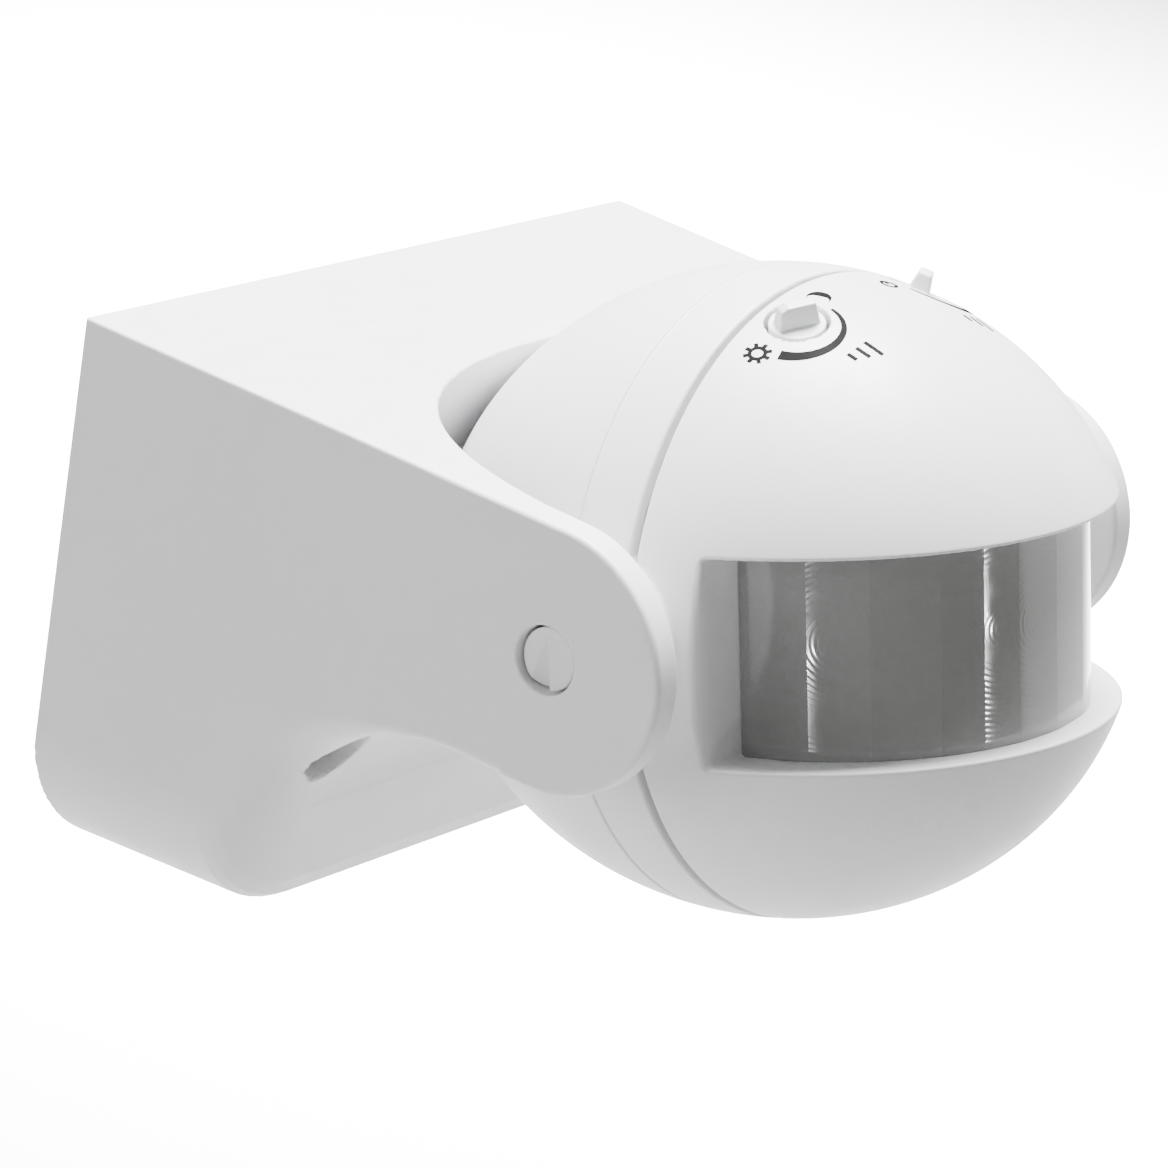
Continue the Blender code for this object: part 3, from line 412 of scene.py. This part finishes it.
def build_front_shell():
    places = ((-LENS_OPENING_X, 0.5), (LENS_OPENING_X, 0.5), (-KNOB_POINT.x, 3), (KNOB_POINT.x, 3))
    xs = [(place, reach, 0.3) for place, reach in places]
    return net_object(
        "front_shell_body",
        front_field,
        grid_lines(-28, 28, 0.5, *xs),
        grid_lines(-26.9, -2.1, 0.5, (FRONT_RIM_Y, 0.4, 0.12), (WINDOW_Y, 0.5, 0.2), (-6.5, 2.5, 0.3)),
        grid_lines(-27.2, 24.8, 0.5, (VISOR_Z, 0.5, 0.14), (LIP_Z, 0.5, 0.14), (21.5, 2.5, 0.25)),
        HEAD,
    )


def build_rear_shell():
    return net_object(
        "rear_shell_body",
        rear_field,
        grid_lines(-28.2, 28.2, 0.5, (-27.4, 0.3, 0.25), (27.4, 0.3, 0.25)),
        grid_lines(-3.0, 31, 0.6, (REAR_RIM_Y, 0.4, 0.12), (GROOVE_Y, 0.4, 0.09)),
        grid_lines(-27.2, 24.8, 0.5),
        HEAD,
    )


def pin_field(x, y, z):
    """The end of a trunnion pin, with a ramp sunk into its rear half that is deepest at the bottom."""
    pin = inter(np.hypot(y, z) - PIN_RADIUS, x - PIN_TIP, 0.1)
    depth = 0.45 * (0.5 * (2 - z) - y)
    step = np.maximum(PIN_TIP - depth - x, -y)
    return np.maximum(cut(pin, step, 0.05), 27.1 - x)


def build_pins():
    made = []
    for side, label in ((-1, "left"), (1, "right")):
        xs = grid_lines(26.6, 30.2, 0.4, (29.4, 0.6, 0.08))
        ys = grid_lines(-2.9, 2.9, 0.14, (0, 0.1, 0.05))
        obj = net_object(f"pivot_pin_{label}", pin_field, xs, ys, ys)
        if side < 0:
            obj.data.transform(Matrix.Scale(-1, 4, Vector((1, 0, 0))))
            obj.data.flip_normals()
        obj.data.transform(HEAD)
        obj.data.set_sharp_from_angle(angle=math.radians(35))
        made.append(obj)
    return made


# Lens: upright facets with a shallow ridge between neighbours. The edges are in degrees round it

FACET_EDGES = (-86, -80.6, -63.7, -49, -32.3, -21, -10.5, 3.5, 19, 34, 49, 64, 80.6, 86)
FACET_STEPS, LENS_BANDS = 10, 12
FLAT_LEFT, FLAT_RIGHT = 0.4, 0.1
RIDGE_ANGLE = 2.6


def lens_stations():
    """Columns round the lens: angle, share of the radius, and the turns from the facet's middle."""
    stations = []
    for first, second in zip(FACET_EDGES, FACET_EDGES[1:]):
        middle, half = math.radians((first + second) / 2), math.radians((second - first) / 2)
        flatness = FLAT_LEFT if middle < 0.3 else FLAT_RIGHT
        for step in range(FACET_STEPS):
            turn = -half + 2 * half * step / FACET_STEPS
            scale = 1 - flatness * (1 - math.cos(half) / math.cos(turn))
            stations.append((middle + turn, scale, turn, turn + 2 * half / FACET_STEPS))
    stations.append((math.radians(FACET_EDGES[-1]), 1.0, 0.0, 0.0))
    return stations


def build_lens():
    bm = bmesh.new()
    layer = bm.loops.layers.uv.new("facet")
    low, high = LIP_Z + 0.02, VISOR_Z - 0.02
    stations = lens_stations()
    columns = []
    for angle, scale, _, _ in stations:
        outer, inner = [], []
        for band in range(LENS_BANDS + 1):
            z = low + (high - low) * band / LENS_BANDS
            for radius, column in ((LENS_RADIUS * scale, outer), (LENS_RADIUS - LENS_THICKNESS, inner)):
                x, y = radius * math.sin(angle), LENS_Y - radius * math.cos(angle)
                column.append(bm.verts.new(Vector((x, y, z)) * MM))
        columns.append(outer + inner[::-1])
    count = len(columns[0])
    for station, left, right in zip(stations, columns, columns[1:]):
        for i in range(count):
            j = (i + 1) % count
            face = bm.faces.new((left[i], right[i], right[j], left[j]))
            turns = (station[2], station[3], station[3], station[2])
            for loop, turn in zip(face.loops, turns):
                loop[layer].uv = (turn * LENS_RADIUS / 10, loop.vert.co.z / MM / 10)
    bm.faces.new(columns[0])
    bm.faces.new(columns[-1][::-1])
    bmesh.ops.recalc_face_normals(bm, faces=bm.faces)
    mesh = take_mesh("lens_sheet", bm)
    mesh.transform(HEAD)
    mesh.shade_smooth()
    mesh.set_sharp_from_angle(angle=math.radians(RIDGE_ANGLE))
    return add_object("lens_sheet", mesh)


# Knobs


def knob_field(x, y, z):
    """A disc on a shaft, with a tapered grip across it whose top slopes down at one end."""
    disc = inter(np.hypot(x, y) - KNOB_RADIUS, np.maximum(DISC_LOW - z, z - DISC_HIGH), 0.14)
    shaft = np.maximum(np.hypot(x, y) - SHAFT_RADIUS, np.maximum(SHAFT_END - z, z + 0.5))
    taper = np.clip((z - DISC_HIGH) / (GRIP_TOP - DISC_HIGH), 0, 1)
    half_x = GRIP_HALF_X - 0.22 * taper
    half_y = GRIP_HALF_Y - 0.33 * taper
    top = np.minimum(GRIP_TOP, GRIP_TOP - 0.3 + 0.55 * (x + 1.4))
    grip = inter(inter(np.abs(x) - half_x, np.abs(y) - half_y, 0.24), (z - top) * 0.93, 0.14)
    grip = np.maximum(grip, GRIP_LOW - z)
    return join(join(disc, grip, 0.12), shaft, 0.1)


def knob_place(side, turn):
    mirror = Vector((side, 1, 1))
    point, axis = KNOB_POINT * mirror * MM, KNOB_AXIS * mirror
    upright = axis.to_track_quat("Z", "Y").to_matrix().to_4x4()
    return HEAD @ Matrix.Translation(point) @ upright @ Matrix.Rotation(turn, 4, "Z")


def build_knob(name, side, turn):
    xy = grid_lines(-2.5, 2.5, 0.12)
    zs = grid_lines(-7.6, 1.8, 0.5, (0.5, 1.2, 0.12))
    return net_object(name, knob_field, xy, xy, zs, knob_place(side, math.radians(turn)))


# Printed marks round the knobs: thin raised shapes that follow the visor


PRINT_DEPTH, PRINT_LIFT = -0.05, 0.035
ARC_RADIUS, ARC_NARROW, ARC_WIDE = 3.5, 0.25, 0.95
ARC_X, ARC_Y = 0.6, -0.48
ICON_Y = -0.08
BAR_Y, BAR_STEP, BAR_WIDTH, BAR_LENGTHS = -5.38, 1.0, 0.34, (0.9, 1.4, 1.9)


def on_visor(points, lift):
    """Drops points of the head's frame onto the visor along the knob axis, then lifts them off it."""
    placed = []
    for point in points:
        x, y, z = point
        dy, dz = y - BALL_CENTRE_Y, z - BALL_CENTRE_Z
        radial = Vector((x, dy, dz))
        for _ in range(3):
            ry = BALL_FRONT if radial.y < 0 else BALL_REAR
            k = math.sqrt((radial.x / BALL_X) ** 2 + (radial.y / ry) ** 2 + (radial.z / BALL_TOP) ** 2)
            radial = radial / k
        normal = Vector((radial.x / BALL_X**2, radial.y / ry**2, radial.z / BALL_TOP**2)).normalized()
        placed.append(radial + Vector((0, BALL_CENTRE_Y, BALL_CENTRE_Z)) + normal * lift)
    return placed


def add_mark(bm, side, loop_pairs, closed):
    """A strip between two rows of points in the plane across a knob's axis: u towards +X, v to the rear."""
    mirror = Vector((side, 1, 1))
    axis = KNOB_AXIS * mirror
    u = Vector((1, 0, 0)) - axis * axis.x
    u.normalize()
    v = axis.cross(u)
    base = KNOB_POINT * mirror
    rows = []
    for first, second in loop_pairs:
        flat = [base + u * first[0] + v * first[1], base + u * second[0] + v * second[1]]
        low, high = on_visor(flat, PRINT_DEPTH), on_visor(flat, PRINT_LIFT)
        rows.append([bm.verts.new(p * MM) for p in (low[0], high[0], high[1], low[1])])
    following = rows[1:] + ([rows[0]] if closed else [])
    for a, b in zip(rows, following):
        for i in range(4):
            j = (i + 1) % 4
            bm.faces.new((a[i], a[j], b[j], b[i]))
    if not closed:
        bm.faces.new(rows[0][::-1])
        bm.faces.new(rows[-1])


def arc_mark(bm, side, centre, radius, start, end, width_start, width_end, steps=40, closed=False):
    pairs = []
    for step in range(steps + (0 if closed else 1)):
        share = step / steps
        angle = math.radians(start + (end - start) * share)
        width = width_start + (width_end - width_start) * share
        inner, outer = radius - width / 2, radius + width / 2
        c, s = math.cos(angle), math.sin(angle)
        first = (centre[0] + inner * c, centre[1] + inner * s)
        pairs.append((first, (centre[0] + outer * c, centre[1] + outer * s)))
    add_mark(bm, side, pairs, closed)


def line_mark(bm, side, start, end, width, steps=4):
    dx, dy = end[0] - start[0], end[1] - start[1]
    length = math.hypot(dx, dy)
    nx, ny = -dy / length * width / 2, dx / length * width / 2
    pairs = []
    for step in range(steps + 1):
        x, y = start[0] + dx * step / steps, start[1] + dy * step / steps
        pairs.append(((x - nx, y - ny), (x + nx, y + ny)))
    add_mark(bm, side, pairs, False)


def crescent_mark(bm, side, centre, radius, facing, steps=24):
    """A crescent moon whose bulge faces an angle."""
    pairs = []
    for step in range(steps + 1):
        share = step / steps
        angle = math.radians(-112 + 224 * share)
        thick = radius * 0.62 * math.sin(math.pi * share) + 0.03
        turn = math.radians(facing)
        outer = (radius * math.cos(angle), radius * math.sin(angle))
        inner = ((radius - thick) * math.cos(angle) - 0.1, (radius - thick * 0.55) * math.sin(angle))
        pair = []
        for px, py in (inner, outer):
            x = centre[0] + px * math.cos(turn) - py * math.sin(turn)
            y = centre[1] + px * math.sin(turn) + py * math.cos(turn)
            pair.append((x, y))
        pairs.append(tuple(pair))
    add_mark(bm, side, pairs, False)


def sun_mark(bm, side, centre, radius):
    arc_mark(bm, side, centre, radius, 0, 360, 0.3, 0.3, 28, True)
    for ray in range(8):
        angle = math.tau * ray / 8
        c, s = math.cos(angle), math.sin(angle)
        start = (centre[0] + (radius + 0.08) * c, centre[1] + (radius + 0.08) * s)
        end = (centre[0] + (radius + 0.5) * c, centre[1] + (radius + 0.5) * s)
        line_mark(bm, side, start, end, 0.32, 2)


def marks_object(name, bm):
    bmesh.ops.recalc_face_normals(bm, faces=bm.faces)
    mesh = take_mesh(name, bm)
    mesh.transform(HEAD)
    return add_object(name, mesh)


def bar_marks(bm, side, start):
    """Three plain bars, each longer than the one before."""
    for bar, length in enumerate(BAR_LENGTHS):
        x = start + bar * BAR_STEP
        line_mark(bm, side, (x, BAR_Y), (x, BAR_Y - length), BAR_WIDTH)


def clock_mark(bm, side, centre, hand):
    arc_mark(bm, side, centre, 0.62, 0, 360, 0.26, 0.26, 28, True)
    line_mark(bm, side, centre, (centre[0] + hand[0], centre[1] + hand[1]), 0.2, 2)


def build_marks():
    light = bmesh.new()
    arc_mark(light, -1, (-ARC_X, ARC_Y), ARC_RADIUS, -8, -162, ARC_NARROW, ARC_WIDE)
    sun_mark(light, -1, (-4.7, ICON_Y), 0.6)
    crescent_mark(light, -1, (3.65, 0.85), 0.95, 20)
    bar_marks(light, -1, -0.6)
    time = bmesh.new()
    arc_mark(time, 1, (ARC_X, ARC_Y), ARC_RADIUS, -172, -18, ARC_NARROW, ARC_WIDE)
    clock_mark(time, 1, (-4.6, ICON_Y), (0.0, 0.42))
    clock_mark(time, 1, (4.7, ICON_Y), (0.36, -0.3))
    bar_marks(time, 1, -1.4)
    return marks_object("light_marks", light), marks_object("time_marks", time)


# Materials


def new_material(name, colour, roughness, metallic=0.0):
    """A plain material, with its nodes, links, shader and texture coordinates."""
    material = bpy.data.materials.new(name)
    material.use_nodes = True
    nodes, links = material.node_tree.nodes, material.node_tree.links
    shader = nodes["Principled BSDF"]
    shader.inputs["Base Color"].default_value = (*colour, 1.0)
    shader.inputs["Roughness"].default_value = roughness
    shader.inputs["Metallic"].default_value = metallic
    coords = nodes.new("ShaderNodeTexCoord")
    return material, nodes, links, shader, coords


def noise(nodes, links, source, scale, detail=3.0, rough=0.55, distortion=0.0):
    node = nodes.new("ShaderNodeTexNoise")
    node.inputs["Scale"].default_value = scale
    node.inputs["Detail"].default_value = detail
    node.inputs["Roughness"].default_value = rough
    node.inputs["Distortion"].default_value = distortion
    links.new(source, node.inputs["Vector"])
    return node.outputs["Fac"]


def spread(nodes, links, source, low, high):
    """Maps the middle of a noise to a range of values."""
    node = nodes.new("ShaderNodeMapRange")
    node.inputs["From Min"].default_value = 0.3
    node.inputs["From Max"].default_value = 0.7
    node.inputs["To Min"].default_value = low
    node.inputs["To Max"].default_value = high
    links.new(source, node.inputs["Value"])
    return node.outputs["Result"]


def tint(nodes, links, factor, first, second):
    node = nodes.new("ShaderNodeMix")
    node.data_type = "RGBA"
    node.inputs["A"].default_value = (*first, 1)
    node.inputs["B"].default_value = (*second, 1)
    links.new(factor, node.inputs["Factor"])
    return node.outputs["Result"]


def bump(nodes, links, height, strength, distance, after=None):
    node = nodes.new("ShaderNodeBump")
    node.inputs["Strength"].default_value = strength
    node.inputs["Distance"].default_value = distance
    links.new(height, node.inputs["Height"])
    if after:
        links.new(after, node.inputs["Normal"])
    return node.outputs["Normal"]


def moulded(name, colour, roughness, grain=2600.0, strength=0.12, shade=0.97, specular=0.5):
    """Moulded plastic: a fine spark-eroded grain, a faint flow in the tone, and slightly uneven gloss."""
    material, nodes, links, shader, coords = new_material(name, colour, roughness)
    place = coords.outputs["Object"]
    flow = spread(nodes, links, noise(nodes, links, place, 45.0, 2.0, 0.5, 0.4), 0, 1)
    darker = tuple(c * shade for c in colour)
    links.new(tint(nodes, links, flow, darker, colour), shader.inputs["Base Color"])
    uneven = noise(nodes, links, place, 300.0, 3.0)
    links.new(spread(nodes, links, uneven, roughness - 0.05, roughness + 0.06), shader.inputs["Roughness"])
    fine = bump(nodes, links, noise(nodes, links, place, grain, 2.0, 0.6), strength, 0.00006)
    wavy = bump(nodes, links, noise(nodes, links, place, 120.0, 1.0), 0.05, 0.0001, fine)
    links.new(wavy, shader.inputs["Normal"])
    shader.inputs["Specular IOR Level"].default_value = specular
    return material


def metal(name, colour, roughness, stretch=(1, 1, 14)):
    """Plated metal with fine drawn lines and duller patches."""
    material, nodes, links, shader, coords = new_material(name, colour, roughness, 1.0)
    mapping = nodes.new("ShaderNodeMapping")
    mapping.inputs["Scale"].default_value = stretch
    links.new(coords.outputs["Object"], mapping.inputs["Vector"])
    lines = noise(nodes, links, mapping.outputs["Vector"], 1500.0, 4.0)
    patches = noise(nodes, links, coords.outputs["Object"], 400.0, 3.0)
    links.new(spread(nodes, links, patches, roughness - 0.08, roughness + 0.12), shader.inputs["Roughness"])
    darker = tuple(c * 0.85 for c in colour)
    links.new(tint(nodes, links, patches, darker, colour), shader.inputs["Base Color"])
    links.new(bump(nodes, links, lines, 0.15, 0.00004), shader.inputs["Normal"])
    return material


def board(name):
    """Solder mask over copper: straight tracks a shade lighter than the ground."""
    material, nodes, links, shader, coords = new_material(name, (0.03, 0.16, 0.06), 0.35)
    brick = nodes.new("ShaderNodeTexBrick")
    brick.inputs["Scale"].default_value = 300.0
    brick.inputs["Mortar Size"].default_value = 0.03
    brick.inputs["Color1"].default_value = (0.03, 0.17, 0.06, 1)
    brick.inputs["Color2"].default_value = (0.02, 0.13, 0.05, 1)
    brick.inputs["Mortar"].default_value = (0.07, 0.30, 0.11, 1)
    links.new(coords.outputs["Object"], brick.inputs["Vector"])
    links.new(brick.outputs["Color"], shader.inputs["Base Color"])
    links.new(bump(nodes, links, brick.outputs["Fac"], 0.3, 0.00003), shader.inputs["Normal"])
    uneven = noise(nodes, links, coords.outputs["Object"], 500.0, 3.0)
    links.new(spread(nodes, links, uneven, 0.28, 0.42), shader.inputs["Roughness"])
    return material


def smoked_lens():
    """Smoked lens plastic, with a painted reflection that makes it paler to the right: each facet carries
    shallow rings about its middle.
    """
    material, nodes, links, shader, coords = new_material("smoked_lens", (0.2, 0.2, 0.2), 0.08)
    shader.inputs["Specular IOR Level"].default_value = 0.5
    uv = nodes.new("ShaderNodeUVMap")
    uv.uv_map = "facet"
    length = nodes.new("ShaderNodeVectorMath")
    length.operation = "LENGTH"
    links.new(uv.outputs["UV"], length.inputs[0])
    wave = nodes.new("ShaderNodeMath")
    wave.operation = "MULTIPLY"
    wave.inputs[1].default_value = 150.0
    links.new(length.outputs["Value"], wave.inputs[0])
    sine = nodes.new("ShaderNodeMath")
    sine.operation = "SINE"
    links.new(wave.outputs["Value"], sine.inputs[0])
    rings = bump(nodes, links, sine.outputs["Value"], 0.25, 0.000004)
    soft = noise(nodes, links, coords.outputs["Object"], 150.0, 2.0)
    links.new(bump(nodes, links, soft, 0.08, 0.00012, rings), shader.inputs["Normal"])
    # Painted reflection: the base colour blends from the mottled smoke grey to a paler grey towards +X,
    # standing in for the brighter reflection on the lens's right side
    across = nodes.new("ShaderNodeSeparateXYZ")
    links.new(coords.outputs["Object"], across.inputs["Vector"])
    painted_sheen_right = nodes.new("ShaderNodeMapRange")
    painted_sheen_right.interpolation_type = "SMOOTHSTEP"
    painted_sheen_right.inputs["From Min"].default_value = -0.010
    painted_sheen_right.inputs["From Max"].default_value = 0.017
    links.new(across.outputs["X"], painted_sheen_right.inputs["Value"])
    tone = noise(nodes, links, coords.outputs["Object"], 60.0, 2.0)
    mottled = tint(nodes, links, tone, (0.22, 0.22, 0.218), (0.27, 0.27, 0.268))
    smoke_and_painted_sheen = nodes.new("ShaderNodeMix")
    smoke_and_painted_sheen.data_type = "RGBA"
    smoke_and_painted_sheen.inputs["B"].default_value = (0.52, 0.52, 0.517, 1)
    links.new(painted_sheen_right.outputs["Result"], smoke_and_painted_sheen.inputs["Factor"])
    links.new(mottled, smoke_and_painted_sheen.inputs["A"])
    links.new(smoke_and_painted_sheen.outputs["Result"], shader.inputs["Base Color"])
    uneven = noise(nodes, links, coords.outputs["Object"], 700.0, 3.0)
    links.new(spread(nodes, links, uneven, 0.05, 0.10), shader.inputs["Roughness"])
    return material


MATERIALS = {
    "housing_white": moulded("housing_white_plastic", (0.80, 0.80, 0.81), 0.42, 1800.0, 0.10),
    "lens_grey": smoked_lens(),
    "knob_white": moulded("knob_white_plastic", (0.78, 0.79, 0.79), 0.34, 2400.0, 0.05),
    "seal_grey": moulded("seal_foam", (0.28, 0.28, 0.29), 0.80, 1500.0, 0.6, 0.85),
    "grommet_black": moulded("grommet_rubber", (0.03, 0.03, 0.03), 0.62, 2000.0, 0.3, 0.8),
    "frame_white": moulded("frame_plastic", (0.72, 0.72, 0.71), 0.50, 1800.0, 0.15),
    "board_green": board("board_mask"),
    "chip_black": moulded("chip_resin", (0.018, 0.018, 0.018), 0.45, 3000.0, 0.25, 0.8),
    "can_metal": metal("can_nickel", (0.74, 0.73, 0.69), 0.24),
    "filter_dark": moulded("filter_glass", (0.05, 0.04, 0.05), 0.12, 900.0, 0.03, 0.8),
    "lamp_red": moulded("lamp_resin", (0.55, 0.03, 0.02), 0.18, 900.0, 0.04, 0.85),
    "cell_tan": moulded("cell_ceramic", (0.66, 0.40, 0.24), 0.42, 1600.0, 0.2, 0.8),
    "relay_blue": moulded("relay_case", (0.05, 0.17, 0.46), 0.42, 1800.0, 0.12, 0.85),
    "film_yellow": moulded("film_case", (0.72, 0.52, 0.07), 0.42, 1800.0, 0.12, 0.85),
    "sleeve_black": moulded("sleeve_film", (0.035, 0.035, 0.055), 0.30, 1200.0, 0.08, 0.8),
    "disc_blue": moulded("disc_resin", (0.06, 0.23, 0.42), 0.32, 700.0, 0.3, 0.8),
    "trimmer_blue": moulded("trimmer_case", (0.08, 0.19, 0.45), 0.40, 1800.0, 0.12, 0.85),
    "terminal_grey": moulded("terminal_case", (0.52, 0.53, 0.52), 0.45, 1800.0, 0.15, 0.9),
    "screw_steel": metal("screw_zinc", (0.64, 0.63, 0.60), 0.32),
    "lead_brown": moulded("lead_sleeve", (0.18, 0.09, 0.045), 0.42, 1000.0, 0.1, 0.8),
}
PRINT_BLACK = moulded("printed_ink", (0.006, 0.006, 0.006), 0.6, 3000.0, 0.2, 0.7, 0.04)


def finish_piece(obj, body, slot_name, *nodes, material=None):
    obj.data.materials.clear()
    obj.data.materials.append(material or MATERIALS[slot_name])
    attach(obj, body)
    if nodes:
        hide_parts(*nodes)


for part in frame["record"]["subparts"]:
    node = frame["nodes"][part["node"]]
    node.data.materials.clear()
    node.data.materials.append(MATERIALS[part["material_slot"]])

finish_piece(build_housing(), "bracket", "housing_white", "bracket_housing")
finish_piece(build_front_shell(), "head", "housing_white", "front_shell")
finish_piece(build_rear_shell(), "head", "housing_white", "rear_shell")
for pin in build_pins():
    finish_piece(pin, "head", "housing_white")
finish_piece(build_lens(), "head", "lens_grey", "fresnel_lens")
finish_piece(build_knob("light_knob_body", -1, KNOB_TURN), "light_knob", "knob_white", "light_knob")
finish_piece(build_knob("time_knob_body", 1, -KNOB_TURN), "time_knob", "knob_white", "time_knob")
for marks in build_marks():
    finish_piece(marks, "head", "chip_black", material=PRINT_BLACK)


# Floor, camera and lights. The places of lights are in metres and the camera's turn is in degrees

FLOOR_HALF, FLOOR_Z = 8.0, -0.8
CAMERA_PLACE = Vector((-280.49, -235.93, 147.22))
CAMERA_TURN = (67.511, -8.870, -49.663)
CAMERA_LENS, SENSOR_WIDTH = 146.83, 36.0


def add_floor():
    bm = bmesh.new()
    bmesh.ops.create_grid(bm, x_segments=1, y_segments=1, size=FLOOR_HALF)
    mesh = take_mesh("floor", bm)
    material, nodes, links, shader, coords = new_material("floor_pale", (0.90, 0.90, 0.90), 0.9)
    tone = noise(nodes, links, coords.outputs["Object"], 3.0, 2.0)
    links.new(tint(nodes, links, tone, (0.89, 0.89, 0.89), (0.91, 0.91, 0.91)), shader.inputs["Base Color"])
    mesh.materials.append(material)
    floor = add_object("floor", mesh)
    floor.location.z = FLOOR_Z


def add_camera():
    data = bpy.data.cameras.new("camera")
    data.lens = CAMERA_LENS
    data.sensor_width = SENSOR_WIDTH
    data.clip_start, data.clip_end = 0.01, 20.0
    camera = add_object("camera", data)
    camera.location = CAMERA_PLACE * MM
    camera.rotation_euler = [math.radians(angle) for angle in CAMERA_TURN]
    bpy.context.scene.camera = camera


def add_light(name, place, target, size, power, spread_angle=180.0):
    data = bpy.data.lights.new(name, "AREA")
    data.shape = "RECTANGLE"
    data.size, data.size_y = size
    data.energy = power
    data.spread = math.radians(spread_angle)
    lamp = add_object(name, data)
    lamp.location = place
    lamp.rotation_euler = (Vector(target) - Vector(place)).to_track_quat("-Z", "Y").to_euler()


def add_lights():
    middle = (0, -0.035, 0.005)
    add_light("key", (0.16, 0.14, 0.75), middle, (0.4, 0.4), 52.0)
    add_light("left", (-0.85, 0.35, 0.20), middle, (0.6, 0.6), 5.8)
    add_light("right", (0.95, -0.40, -0.12), middle, (1.2, 1.0), 6.5)
    add_light("glint_front", (0.3411, -1.216, 0.0), middle, (0.012, 0.012), 0.6)
    add_light("glint_left", (-1.0954, -0.5443, -0.1881), middle, (0.012, 0.012), 0.5)
    add_light("backdrop", (1.75, 1.30, 0.05), (1.75, 1.30, -0.8), (1.7, 1.7), 270.0, 110.0)
    world = bpy.data.worlds.new("studio")
    world.use_nodes = True
    background = world.node_tree.nodes["Background"]
    background.inputs["Color"].default_value = (1, 1, 1, 1)
    background.inputs["Strength"].default_value = 0.27
    bpy.context.scene.world = world


add_floor()
add_camera()
add_lights()
